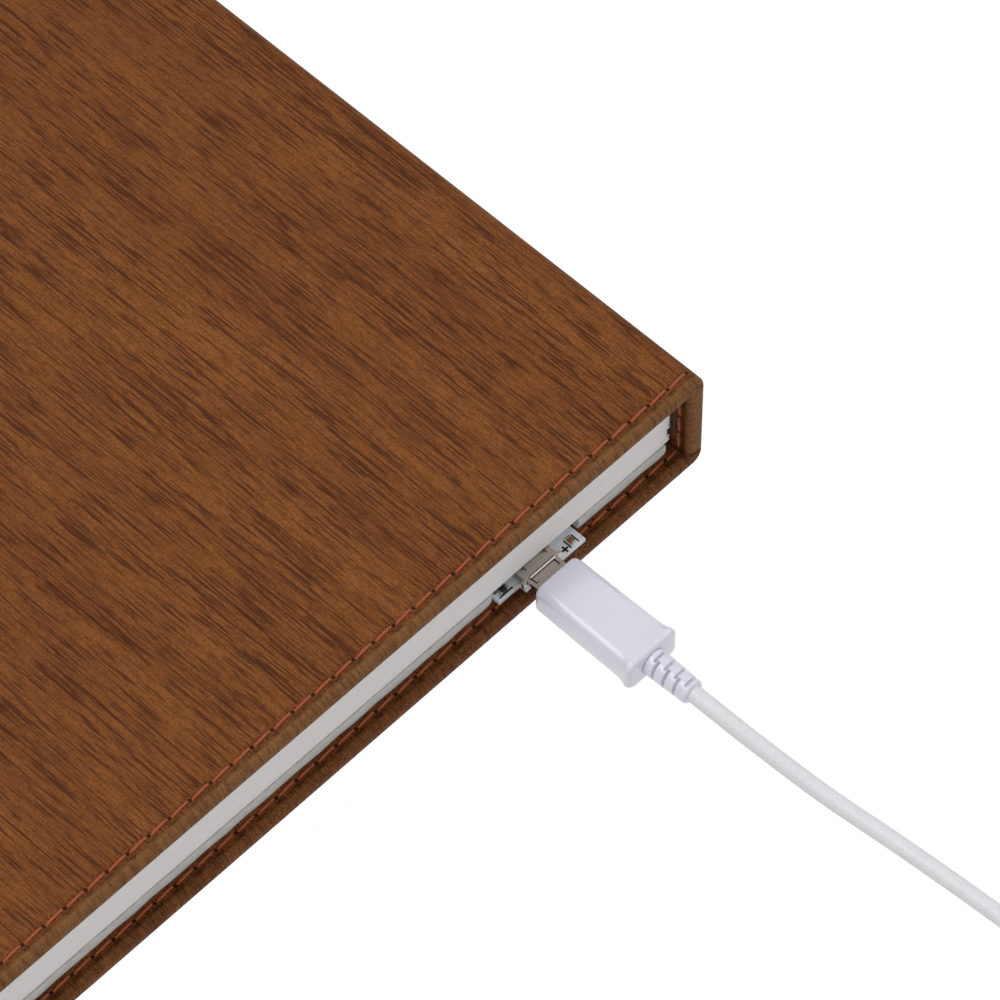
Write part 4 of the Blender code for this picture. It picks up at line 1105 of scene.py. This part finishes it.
def build_leaves():
    """Each leaf is a sheet folded double, its plies pinched into one flap where it is bound."""
    size = sizes()
    first_low, first_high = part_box("page_01")
    second_low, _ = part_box("page_02")
    pitch = second_low.z - first_low.z
    half = pitch / 2 - size.leaf_gap / 2
    pinch_x = first_high.x - 0.0040
    for number in range(1, LEAF_COUNT + 1):
        node = f"page_{number:02d}"
        low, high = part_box(node)
        middle = (low.z + high.z) / 2
        drift = 0.00007 * math.sin(number * 2.4)
        back = high.x - (EARLY_END if number in EARLY_LEAVES else LEAF_END)
        leaf = block(
            f"leaf_{number:02d}_paper",
            (low.x + abs(drift), low.y + abs(drift), middle - half),
            (back, high.y - abs(drift), middle + half),
        )
        shoulder = back - 0.0009 + drift * 1.4
        steps = [shoulder + (back - shoulder) * part for part in (0, 0.4, 0.65, 0.85)]
        slices(leaf, 0, [pinch_x] + steps)
        bevel(leaf, lambda m, d: m.x < low.x + 0.001 and abs(d.y) > 0.9, half * 0.92, 4)
        ply = size.ply_gap / 2
        slices(leaf, 2, [middle - ply, middle + ply])
        edit(leaf, "FACE")
        for sign in (-1, 1):
            pick(
                leaf,
                "FACE",
                lambda m, n: n.y * sign > 0.9 and abs(m.z - middle) < ply and m.x < shoulder,
            )
            extrude((0, -0.0006 * sign, 0))
        close_edit()

        def rule(co):
            """Pinch the plies together towards the binding."""
            if co.x > shoulder - 0.0001:
                share = max(0.0, min(1.0, (co.x - shoulder) / (back - shoulder)))
                co.z = middle + (co.z - middle) * (0.98 - 0.74 * share**2.4)
            return co

        reshape(leaf, rule)
        eased(leaf, 0.00003, 1, 60)
        body = "spine" if number == MIDDLE_LEAF else f"leaf_{number:02d}"
        finished(leaf, paper(), body, node, name="page_paper")


def build_tray():
    card = known("tray_card", make_card)
    for node, back in (("tray_base", 0.00035), ("tray_frame", 0.00012), ("tray_lid", 0.00040)):
        layer = node_copy(node, node + "_card")
        low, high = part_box(node)
        slices(layer, 0, [low.x + 0.004 + 0.0041 * n for n in range(38)])

        def rule(co):
            """Square the corners at the spine, and set the cut tail edge back a little unevenly."""
            dx, dy = co.x - (high.x - TRAY_CORNER), abs(co.y) - (high.y - TRAY_CORNER)
            if dx > 1e-6 and dy > 1e-6:
                grow = TRAY_CORNER / max(dx, dy)
                if math.hypot(dx, dy) > TRAY_CORNER * 0.97:
                    co.x = high.x - TRAY_CORNER + dx * grow
                    co.y = math.copysign(high.y - TRAY_CORNER + dy * grow, co.y)
            if co.y < low.y + 0.0001:
                co.y += back + 0.00008 * math.sin(co.x * 900 + low.z * 5000)
            return co

        reshape(layer, rule)
        eased(layer, 0.00006, 1, 50)
        finished(layer, card, "bottom_cover", node, name="tray_card")


# The charging board and its parts

def build_board():
    board = node_copy("charger_board", "board_panel")
    eased(board, 0.00008, 2)
    finished(board, resist(), "bottom_cover", "charger_board", name="circuit_board")
    top, tail, side = BOARD_HIGH.z, BOARD_LOW.y, BOARD_LOW.x
    ink = plain("black_ink", (0.012, 0.012, 0.014), 0.5, 0.0, (3000, 3000, 3000), 0.00001)
    tin = plain("tinned_pad", (0.62, 0.61, 0.58), 0.28, 1.0, (2400, 2400, 2400), 0.00002)
    moulded = plain("moulded_epoxy", (0.02, 0.02, 0.022), 0.42, 0.0, (2600, 2600, 2600), 0.00002, 0.7)
    brown = plain("ceramic_brown", (0.30, 0.12, 0.035), 0.4, 0.0, (2600, 2600, 2600), 0.00002)

    # The plus, the lines beside the small part and a line by the left end
    plus_x, plus_y = 0.05425, tail + 0.0009
    arm, stroke = 0.00068, 0.00019
    ink_z, line_y = (top, top + 0.00002), (tail + 0.0004, tail + 0.0022)
    marks = [
        slab(about(plus_x, arm), about(plus_y, stroke), ink_z),
        slab(about(plus_x, stroke), about(plus_y, arm), ink_z),
        slab(about(plus_x + 0.00095, 0.00014), line_y, ink_z),
        slab(about(plus_x + 0.0027, 0.00014), line_y, ink_z),
        slab((side + 0.0006, side + 0.0036), (tail + 0.0018, tail + 0.0021), ink_z),
    ]
    finished(joined("board_marks", marks), ink, "bottom_cover", name="component")

    pads = [
        slab(about(x, 0.00033), about(tail + y, 0.00028), (top, top + 0.00006))
        for x, y in ((0.0526, 0.0005), (0.0526, 0.0018), (0.0404, 0.0032), (0.0424, 0.0032))
    ]
    pad_piece = joined("board_pads", pads)
    eased(pad_piece, 0.00003, 2)
    finished(pad_piece, tin, "bottom_cover", name="nickel")

    chip_part("charger_chip", "driver_chip", moulded, tin, 4)
    passive("capacitor", *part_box("charger_capacitor"), brown, tin, ("charger_capacitor",))
    low = Vector((plus_x + 0.0014, tail + 0.0006, top))
    passive("front_resistor", low, low + Vector((0.0009, 0.0016, 0.0005)), brown, tin, ())
    low = Vector((0.0406, tail + 0.0020, top))
    passive("side_diode", low, low + Vector((0.0018, 0.0011, 0.0007)), moulded, tin, (), axis=0)

    glass = plain("switch_glass", (0.045, 0.09, 0.05), 0.12, 0.0, (1400, 1400, 1400), 0.00001)
    low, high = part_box("lid_switch")
    centre = (low + high) / 2
    ends = ((centre.x, low.y, centre.z), (centre.x, high.y, centre.z))
    tube = rod("lid_switch_tube", (high.x - low.x) / 2, ends, 24)
    slices(tube, 1, [low.y + 0.0012, high.y - 0.0012, low.y + 0.0006, high.y - 0.0006])

    def waist(co):
        """The glass is drawn in at its two ends."""
        if min(co.y - low.y, high.y - co.y) < 0.0003:
            co.x = centre.x + (co.x - centre.x) * 0.55
            co.z = centre.z + (co.z - centre.z) * 0.55
        return co

    reshape(tube, waist)
    finished(tube, glass, "bottom_cover", "lid_switch", name="component")


def passive(name, low, high, body_material, end_material, nodes, axis=1):
    """A small surface part: its body and two tinned ends."""
    share = 0.22
    span = high[axis] - low[axis]
    parts = []
    for start_at, end_at, material, proud in (
        (0.0, share, end_material, 0.00002),
        (share, 1 - share, body_material, 0.0),
        (1 - share, 1.0, end_material, 0.00002),
    ):
        a, b = Vector(low), Vector(high)
        a[axis], b[axis] = low[axis] + span * start_at, low[axis] + span * end_at
        b.z += proud
        part = block("part", a, b)
        eased(part, 0.00006, 2)
        part.data.materials.append(material)
        parts.append(part)
    piece = joined(name, parts)
    finished(piece, body_material, "bottom_cover", *nodes, name="component")


def chip_part(node, name, moulded, tin, legs):
    """A small chip: a chamfered body, a dot at its first leg and a row of bent legs on both sides."""
    low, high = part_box(node)
    side = 0.0006
    body = block(name, (low.x + side, low.y, low.z + 0.0001), (high.x - side, high.y, high.z))
    bevel(body, lambda m, d: abs(m.z - high.z) < 1e-6, 0.00018, 2)
    x, y = low.x + 0.0011, low.y + 0.0006
    cut(body, rod("dot", 0.00022, ((x, y, high.z - 0.00006), (x, y, high.z + 0.001)), 16))
    body.data.materials.append(moulded)
    parts = []
    for number in range(legs):
        y = low.y + (number + 0.5) * (high.y - low.y) / legs
        for sign, edge in ((-1, low.x), (1, high.x)):
            outer, root = edge - sign * 0.0001, edge - sign * (side + 0.0001)
            leg = slab(sorted((outer, root)), about(y, 0.0002), (low.z, low.z + 0.00055))
            slices(leg, 0, [edge - sign * 0.00035])

            def bend(co, outer=outer):
                if abs(co.x - outer) < 0.0002:
                    co.z = low.z + (co.z - low.z) * 0.3
                return co

            reshape(leg, bend)
            leg.data.materials.append(tin)
            parts.append(leg)
    finished(joined(name, parts + [body]), moulded, "bottom_cover", node, name="component")


def build_power():
    """The flat cell in its sleeve, and the wires."""
    sleeve = plain("cell_sleeve", (0.42, 0.44, 0.47), 0.32, 0.6, (160, 160, 900), 0.00008, 0.8)
    tape = plain("amber_tape", (0.42, 0.20, 0.025), 0.3, 0.0, (700, 700, 700), 0.00003)
    low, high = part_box("battery_cell")
    cell = block("battery_pouch", low, high)
    bevel(cell, lambda m, d: abs(d.y) > 0.9, 0.0008, 5)
    bevel(cell, lambda m, d: abs(d.x) > 0.9 and abs(m.y - low.y) < 1e-5, 0.0004, 3)
    finished(cell, sleeve, "bottom_cover", "battery_cell", name="battery")
    band = block(
        "battery_tape",
        (low.x + 0.004, low.y - 0.00006, low.z + 0.0004),
        (high.x - 0.004, low.y + 0.0045, high.z + 0.00006),
    )
    edit(band, "FACE")
    pick(band, "FACE", lambda m, n: n.z < -0.5 or n.y > 0.5)
    bpy.ops.mesh.delete(type="FACE")
    close_edit()
    modify(band, "SOLIDIFY", thickness=0.00005, offset=-1)
    finished(band, tape, "bottom_cover", name="battery")
    red, black = ("red_wire", (0.52, 0.02, 0.015)), ("black_wire", (0.015, 0.015, 0.017))
    for node, (slot, base) in (
        ("battery_red_wire", red),
        ("led_red_wire", red),
        ("battery_black_wire", black),
        ("led_black_wire", black),
    ):
        low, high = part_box(node)
        along = max(range(3), key=lambda n: high[n] - low[n])
        centre = (low + high) / 2
        a, b = centre.copy(), centre.copy()
        a[along], b[along] = low[along], high[along]
        radius = (high.z - low.z) / 2
        jacket = rod(node + "_jacket", radius, (a, b), 20)
        eased(jacket, 0.00008, 2)
        hue = plain(slot, base, 0.38, 0.0, (1800, 1800, 1800))
        finished(jacket, hue, "bottom_cover", node, name=slot)


LED_COUNT = 5
# How deep the phosphor lies in its frame
LED_WELL = 0.00018


def build_light_strip():
    low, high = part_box("led_strip")
    strip = block("light_strip_board", low, high)
    eased(strip, 0.00006, 2)
    finished(strip, resist(), "bottom_cover", "led_strip", name="circuit_board")
    tin = plain("tinned_pad", (0.62, 0.61, 0.58), 0.28, 1.0)
    frame_plastic = plain("led_frame", (0.80, 0.80, 0.77), 0.4, 0.0, (2000, 2000, 2000), 0.00002, 0.95)
    phosphor = plain("led_phosphor", (0.85, 0.62, 0.12), 0.3, 0.0, (2600, 2600, 2600), 0.00003, 0.9)
    for number in range(1, LED_COUNT + 1):
        node = f"led_{number}"
        a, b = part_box(node)
        body = block(node + "_package", a, b)
        edit(body, "FACE")
        pick(body, "FACE", lambda m, n: n.z > 0.9)
        bpy.ops.mesh.inset(thickness=0.0004)
        extrude((0, 0, -LED_WELL))
        close_edit()
        body.data.materials.append(frame_plastic)
        body.data.materials.append(phosphor)
        for face in body.data.polygons:
            if face.normal.z > 0.9 and abs(face.center.z - (b.z - LED_WELL)) < 1e-6:
                face.material_index = 1
        eased(body, 0.00004, 1)
        finished(body, frame_plastic, "bottom_cover", node, name="led")
        x, y, _ = (a + b) / 2
        pads = [
            slab(about(x, 0.0010), about(y + sign * 0.0026, 0.0005), (high.z, high.z + 0.00005))
            for sign in (-1, 1)
        ]
        finished(joined(node + "_pads", pads), tin, "bottom_cover", name="nickel")


# The port and the plugs

def build_port():
    shell = node_copy("usb_receptacle", "port_shell")
    mouth, roof = PORT_LOW.y, PORT_HIGH.z
    through_roof = about(roof, 0.0006)
    columns = [PORT_X + sign * 0.0024 for sign in (-1, 1)]
    windows = [slab(about(x, 0.00036), (mouth + 0.00135, mouth + 0.0030), through_roof) for x in columns]
    groove = slab(about(PORT_X, 0.0029), (mouth + 0.00012, mouth + 0.00032), through_roof)
    cut(shell, *windows, groove)
    eased(shell, 0.00004, 2)

    def dip(co):
        """A spring hangs lowest in its middle."""
        share = (co.y - mouth - 0.0013) / 0.0015
        co.z -= 0.00022 * math.sin(math.pi * min(max(share, 0), 1))
        return co

    parts = []
    for x in columns:
        spring = slab(about(x, 0.00016), (mouth + 0.0013, mouth + 0.0028), (roof - 0.00042, roof - 0.00030))
        slices(spring, 1, [mouth + 0.0017, mouth + 0.0021, mouth + 0.0025])
        reshape(spring, dip)
        parts.append(spring)
    for sign in (-1, 1):
        edge = about(PORT_X + sign * 0.0038, 0.00014)
        tab = slab(edge, (mouth - 0.0001, mouth + 0.0005), (roof - 0.0017, roof - 0.0002))
        edit(tab, "FACE")
        pick(tab, "FACE", lambda m, n: n.x * sign > 0.9)
        extrude((sign * 0.0005, -0.00015, 0))
        close_edit()
        eased(tab, 0.00005, 2)
        parts.append(tab)
    polished = plain("polished_lip", (0.92, 0.89, 0.84), 0.12, 1.0, (900, 900, 900), 0.000002, 0.95)
    lip_y, lip_z = mouth - 0.00012, roof + 0.00008
    lip = rod("port_lip", 0.00017, ((PORT_X - 0.0028, lip_y, lip_z), (PORT_X + 0.0028, lip_y, lip_z)), 16)
    finished(lip, polished, "bottom_cover", degrees=50, name="nickel")
    piece = joined("port_metal", parts + [shell])
    finished(piece, nickel(), "bottom_cover", "usb_receptacle", degrees=22, name="nickel")
    tongue = node_copy("usb_tongue", "port_tongue")
    eased(tongue, 0.00005, 1)
    black = plain("tongue_plastic", (0.03, 0.03, 0.032), 0.4, 0.0, (1800, 1800, 1800))
    finished(tongue, black, "bottom_cover", "usb_tongue", name="component")


def build_micro_plug():
    shell = node_copy("plug_shell", "plug_metal")
    low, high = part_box("plug_shell")
    mouth, through_roof = PORT_LOW.y, about(high.z, 0.0005)
    near, far = mouth - 0.0014, mouth - 0.0001
    slots = []
    for sign in (-1, 1):
        x = PORT_X + sign * 0.0026
        slots.append(slab(about(x, 0.00013), (near, far), through_roof))
        slots.append(slab(sorted((x, x - sign * 0.0005)), (near, near + 0.00014), through_roof))
    cut(shell, *slots)
    eased(shell, 0.00004, 1)
    latch_y, latch_z = (mouth - 0.0012, mouth - 0.0002), (high.z - 0.00066, high.z - 0.00054)
    latches = [slab(about(PORT_X + sign * 0.0025, 0.00040), latch_y, latch_z) for sign in (-1, 1)]
    metal = joined("plug_metal", latches + [shell])
    finished(metal, nickel(), "lead", "plug_shell", degrees=22, name="nickel")

    plastic = known("plug_plastic", make_plug)
    grip = build_grip()
    cut(grip, slab(
        (low.x - 0.0001, high.x + 0.0001),
        (low.y - 0.0001, GRIP_HIGH.y + 0.002),
        (low.z - 0.0001, high.z + 0.0001),
    ))
    finished(grip, plastic, "lead", "plug_body", degrees=45, name="plug_plastic")
    relief = build_relief("plug_sleeve", "plug_relief", Vector((PORT_X, RELIEF_HIGH.y, PORT_Z)))
    return [metal, grip, relief]


def build_grip():
    """The moulded grip: narrow at its front, flared to a soft lip at its back."""
    front, back = GRIP_HIGH.y, GRIP_LOW.y
    span = front - back
    grip = block("plug_grip", GRIP_LOW, GRIP_HIGH)
    shares = (0.05, 0.12, 0.3, 0.5, 0.7, 0.82, 0.87, 0.91, 0.93, 0.95)
    slices(grip, 1, [front - span * s for s in shares])
    widths = (
        (0.0, 0.865), (0.05, 0.872), (0.12, 0.88), (0.3, 0.895), (0.5, 0.905), (0.7, 0.915),
        (0.82, 0.925), (0.87, 0.935), (0.91, 0.952), (0.93, 0.978), (0.95, 1.0), (1.0, 1.0),
    )
    heights = (
        (0.0, 0.95), (0.05, 0.955), (0.12, 0.955), (0.3, 0.95), (0.5, 0.94), (0.7, 0.93),
        (0.82, 0.925), (0.87, 0.93), (0.91, 0.945), (0.93, 0.972), (0.95, 1.0), (1.0, 1.0),
    )

    def at(table, share):
        for (a, low), (b, high) in zip(table, table[1:]):
            if share <= b + 1e-6:
                return low + (high - low) * (share - a) / (b - a)
        return table[-1][1]

    def rule(co):
        share = (front - co.y) / span
        co.x = PORT_X + (co.x - PORT_X) * at(widths, share)
        co.z = PORT_Z + (co.z - PORT_Z) * at(heights, share)
        return co

    reshape(grip, rule)
    bevel(grip, lambda m, d: abs(d.y) > 0.9, 0.0018, 8)
    bevel(grip, lambda m, d: abs(m.y - front) < 1e-5, 0.0007, 5)
    bevel(grip, lambda m, d: abs(m.y - back) < 1e-5, 0.0008, 5)
    return grip


def build_relief(name, node, root):
    """A tapered strain relief along -Y, with slots that step round it."""
    root_radius, tip_radius = 0.0025, 0.0022
    low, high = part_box(node)
    span = high.y - low.y
    heading = Vector((0, -1, 0))
    sleeve = rod(name, root_radius, (root, root + heading * span), 40)

    def rule(co):
        share = (co - root).dot(heading) / span
        on_axis = root + heading * span * share
        return on_axis + (co - on_axis) * (1 + (tip_radius / root_radius - 1) * share)

    reshape(sleeve, rule)
    bevel(sleeve, lambda m, d: (m - root).dot(heading) > span * 0.99, 0.0004, 3)
    count = sizes().relief_slots
    pitch = span / (count + 0.9)
    cutters = []
    for number in range(count):
        place = root + heading * pitch * (number + 0.85)
        ring = about(place.y, pitch * 0.27)
        tool = slab(about(place.x, 0.0034), ring, (place.z - 0.0003, place.z + 0.0034))
        ahead = Vector((0, 0.002, 0))
        cut(tool, rod("core", 0.0014, (place + ahead, place - ahead), 24))
        turn = Matrix.Rotation(math.radians(70 + 180 * number), 4, "Y")
        lean = Matrix.Rotation(math.radians(6), 4, "Z")
        tool.data.transform(Matrix.Translation(place) @ turn @ lean @ Matrix.Translation(-place))
        cutters.append(tool)
    cut(sleeve, *cutters)
    eased(sleeve, 0.00007, 2, 50)
    return finished(
        sleeve, known("plug_plastic", make_plug), "lead", node, degrees=45, name="plug_plastic"
    )


def build_usb_a_plug():
    plastic = known("plug_plastic", make_plug)
    low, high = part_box("usb_a_body")
    grip = block("usb_a_grip", low, high)
    centre = (low + high) / 2
    span = high.y - low.y
    slices(grip, 1, [low.y + span * s for s in (0.12, 0.3, 0.6, 0.9)])

    def rule(co):
        share = (co.y - low.y) / span
        co.x = centre.x + (co.x - centre.x) * (0.92 + 0.08 * min(1.0, share / 0.3))
        return co

    reshape(grip, rule)
    bevel(grip, lambda m, d: abs(d.y) > 0.9, 0.0018, 6)
    bevel(grip, lambda m, d: abs(m.y - low.y) < 1e-5 or abs(m.y - high.y) < 1e-5, 0.0007, 4)
    shell_low, shell_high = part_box("usb_a_shell")
    cut(grip, slab(
        (shell_low.x - 0.0001, shell_high.x + 0.0001),
        (shell_low.y - 0.0001, high.y + 0.002),
        (shell_low.z - 0.0001, shell_high.z + 0.0001),
    ))
    finished(grip, plastic, "lead", "usb_a_body", degrees=45, name="plug_plastic")

    shell = node_copy("usb_a_shell", "usb_a_metal")
    eased(shell, 0.00008, 2)
    finished(shell, nickel(), "lead", "usb_a_shell", name="nickel")
    tongue = node_copy("usb_a_tongue", "usb_a_insert")
    eased(tongue, 0.00008, 2)
    white = plain("insert_plastic", (0.72, 0.72, 0.72), 0.35, 0.0, (1500, 1500, 1500))
    finished(tongue, white, "lead", "usb_a_tongue", name="plug_plastic")
    _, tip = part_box("usb_a_tongue")
    contact_y, contact_z = (tip.y - 0.0085, tip.y - 0.0010), (tip.z - 0.00004, tip.z + 0.00006)
    columns = [USB_A_X + (number - 1.5) * 0.0022 for number in range(4)]
    strips = joined("usb_a_contacts", [slab(about(x, 0.0005), contact_y, contact_z) for x in columns])
    eased(strips, 0.00003, 1)
    gold = plain("gold_contact", (0.78, 0.52, 0.18), 0.22, 1.0, (1800, 1800, 1800), 0.00001)
    finished(strips, gold, "lead", name="nickel")

    _, relief_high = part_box("usb_a_relief")
    relief = build_relief("usb_a_sleeve", "usb_a_relief", Vector((USB_A_X, relief_high.y, USB_A_Z)))
    tie = node_copy("coil_tie", "coil_strap")
    eased(tie, 0.00012, 2)
    strap = plain("tie_strap", (0.03, 0.03, 0.034), 0.6, 0.0, (2600, 900, 2600), 0.00012, 0.7)
    finished(tie, strap, "lead", "coil_tie", name="tie")
    return [grip, shell, tongue, strips, relief, tie]


# The stage

# The floor lies below the fan of leaves when the book is fully open. Its glow is what the camera sees.
FLOOR_Z = -0.178
FLOOR_GLOW = 1.04
FLOOR_GLOW_SHARE = 0.93
STUDIO_LIGHT = 0.47


def background(tree, lit, seen, share):
    """Light meets the first shader, and camera, glossy and transmission rays mostly the second."""
    nodes, links = tree.nodes, tree.links
    path = nodes.new("ShaderNodeLightPath")
    total = path.outputs["Is Camera Ray"]
    for kind in ("Is Glossy Ray", "Is Transmission Ray"):
        either = nodes.new("ShaderNodeMath")
        either.operation = "MAXIMUM"
        links.new(total, either.inputs[0])
        links.new(path.outputs[kind], either.inputs[1])
        total = either.outputs[0]
    part = nodes.new("ShaderNodeMath")
    part.operation = "MULTIPLY"
    links.new(total, part.inputs[0])
    part.inputs[1].default_value = share
    mixer = nodes.new("ShaderNodeMixShader")
    for source, socket in zip((part, lit, seen), mixer.inputs):
        links.new(source.outputs[0], socket)
    end = next(node for node in nodes if node.type.startswith("OUTPUT"))
    links.new(mixer.outputs[0], end.inputs["Surface"])


def area_light(name, place, target, size, power):
    bpy.ops.object.light_add(type="AREA", location=place)
    light = bpy.context.object
    light.name = name
    light.data.shape = "RECTANGLE"
    light.data.size, light.data.size_y = size
    light.data.energy = power
    heading = Vector(place) - Vector(target)
    light.rotation_euler = heading.to_track_quat("Z", "Y").to_euler()


def build_stage():
    bpy.ops.object.select_all(action="DESELECT")
    bpy.ops.mesh.primitive_plane_add(size=8, location=(0, 0, FLOOR_Z))
    floor = bpy.context.object
    floor.name = "floor"
    material = bpy.data.materials.new("white_floor")
    material.use_nodes = True
    nodes = material.node_tree.nodes
    diffuse = nodes["Principled BSDF"]
    diffuse.inputs["Base Color"].default_value = (0.8, 0.8, 0.8, 1)
    diffuse.inputs["Roughness"].default_value = 0.9
    diffuse.inputs["Specular IOR Level"].default_value = 0.0
    glow = nodes.new("ShaderNodeEmission")
    glow.inputs["Strength"].default_value = FLOOR_GLOW
    background(material.node_tree, diffuse, glow, FLOOR_GLOW_SHARE)
    floor.data.materials.append(material)

    world = bpy.data.worlds.new("studio")
    bpy.context.scene.world = world
    world.use_nodes = True
    nodes = world.node_tree.nodes
    soft, white = nodes["Background"], nodes.new("ShaderNodeBackground")
    for shader, strength in ((soft, STUDIO_LIGHT), (white, 1.0)):
        shader.inputs["Color"].default_value = (1, 1, 1, 1)
        shader.inputs["Strength"].default_value = strength
    background(world.node_tree, soft, white, 1.0)

    area_light("key", (-0.55, 0.25, 1.25), (0.03, -0.08, 0), (0.9, 0.9), 6.8)
    area_light("side", (0.75, -0.35, 0.65), (0.05, -0.1, 0), (0.7, 0.5), 1.6)
    area_light("strip", (-0.16, -0.42, 0.30), (0.045, -0.12, 0), (0.06, 0.5), 0.18)
    bpy.context.scene.view_settings.view_transform = "Standard"


# Operators, one for each group of pieces

class LAMP_OT_camera(bpy.types.Operator):
    """Place the camera at the photograph's view."""

    bl_idname = "lamp.camera"
    bl_label = "Camera"

    def execute(self, context):
        build_camera()
        return {"FINISHED"}


class LAMP_OT_lead(bpy.types.Operator):
    """The lead: its micro plug, cord, coil, tie and USB-A plug."""

    bl_idname = "lamp.lead"
    bl_label = "Charging lead"

    def execute(self, context):
        cord, line, total = build_cord()
        pieces = build_micro_plug() + build_usb_a_plug()
        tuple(line[0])
        return {"FINISHED"}


class LAMP_OT_covers(bpy.types.Operator):
    """The leather of the two covers."""

    bl_idname = "lamp.covers"
    bl_label = "Cover leather"

    def execute(self, context):
        build_cover("top_wrap", "top_cover", TOP_LOW.z, TOP_HIGH.z, True, "top_leather")
        build_cover("bottom_wrap", "bottom_cover", BOTTOM_LOW.z, BOTTOM_HIGH.z, False, "bottom_leather")
        return {"FINISHED"}


class LAMP_OT_spine(bpy.types.Operator):
    """The leather of the spine and of its two joints."""

    bl_idname = "lamp.spine"
    bl_label = "Spine leather"

    def execute(self, context):
        build_spine()
        build_joint_corner("top_joint_leather", ("spine", "top_cover"), True)
        build_joint_corner("bottom_joint_leather", ("bottom_cover", "spine"), False)
        return {"FINISHED"}


class LAMP_OT_stitching(bpy.types.Operator):
    """The rows of stitches along the edges."""

    bl_idname = "lamp.stitching"
    bl_label = "Stitching"

    def execute(self, context):
        build_stitching()
        return {"FINISHED"}


class LAMP_OT_boards(bpy.types.Operator):
    """Grey boards, liners, the binding strip and the magnets."""

    bl_idname = "lamp.boards"
    bl_label = "Boards and magnets"

    def execute(self, context):
        build_boards()
        return {"FINISHED"}


class LAMP_OT_leaves(bpy.types.Operator):
    """The fan of paper leaves."""

    bl_idname = "lamp.leaves"
    bl_label = "Leaves"

    def execute(self, context):
        build_leaves()
        return {"FINISHED"}


class LAMP_OT_tray(bpy.types.Operator):
    """The layers of the tray under the leaves."""

    bl_idname = "lamp.tray"
    bl_label = "Tray"

    def execute(self, context):
        build_tray()
        return {"FINISHED"}


class LAMP_OT_board(bpy.types.Operator):
    """The charging board with its marks, pads and parts."""

    bl_idname = "lamp.board"
    bl_label = "Charging board"

    def execute(self, context):
        build_board()
        return {"FINISHED"}


class LAMP_OT_power(bpy.types.Operator):
    """The flat cell and the wires."""

    bl_idname = "lamp.power"
    bl_label = "Cell and wires"

    def execute(self, context):
        build_power()
        return {"FINISHED"}


class LAMP_OT_light_strip(bpy.types.Operator):
    """The light strip and its LEDs."""

    bl_idname = "lamp.light_strip"
    bl_label = "Light strip"

    def execute(self, context):
        build_light_strip()
        return {"FINISHED"}


class LAMP_OT_port(bpy.types.Operator):
    """The micro-B port."""

    bl_idname = "lamp.port"
    bl_label = "Port"

    def execute(self, context):
        build_port()
        return {"FINISHED"}


class LAMP_OT_stage(bpy.types.Operator):
    """The floor, the world and the lamps."""

    bl_idname = "lamp.stage"
    bl_label = "Stage"

    def execute(self, context):
        build_stage()
        return {"FINISHED"}


STEPS = (
    LAMP_OT_camera,
    LAMP_OT_lead,
    LAMP_OT_covers,
    LAMP_OT_spine,
    LAMP_OT_stitching,
    LAMP_OT_boards,
    LAMP_OT_leaves,
    LAMP_OT_tray,
    LAMP_OT_board,
    LAMP_OT_power,
    LAMP_OT_light_strip,
    LAMP_OT_port,
    LAMP_OT_stage,
)


class LAMP_PT_panel(bpy.types.Panel):
    """Sizes, colours and the steps that build the lamp."""

    bl_idname = "LAMP_PT_panel"
    bl_label = "Book lamp"
    bl_space_type = "VIEW_3D"
    bl_region_type = "UI"
    bl_category = "Book lamp"

    def draw(self, context):
        for group in (context.scene.lamp_sizes, context.scene.lamp_colours):
            for key in group.__annotations__:
                self.layout.prop(group, key)
        for step in STEPS:
            self.layout.operator(step.bl_idname)


CLASSES = (LampSizes, LampColours) + STEPS + (LAMP_PT_panel,)


def register():
    for cls in CLASSES:
        bpy.utils.register_class(cls)
    bpy.types.Scene.lamp_sizes = PointerProperty(type=LampSizes)
    bpy.types.Scene.lamp_colours = PointerProperty(type=LampColours)


def unregister():
    del bpy.types.Scene.lamp_colours
    del bpy.types.Scene.lamp_sizes
    for cls in reversed(CLASSES):
        bpy.utils.unregister_class(cls)


def main():
    register()
    for step in STEPS:
        group, name = step.bl_idname.split(".")
        getattr(getattr(bpy.ops, group), name)()


if __name__ == "__main__":
    main()
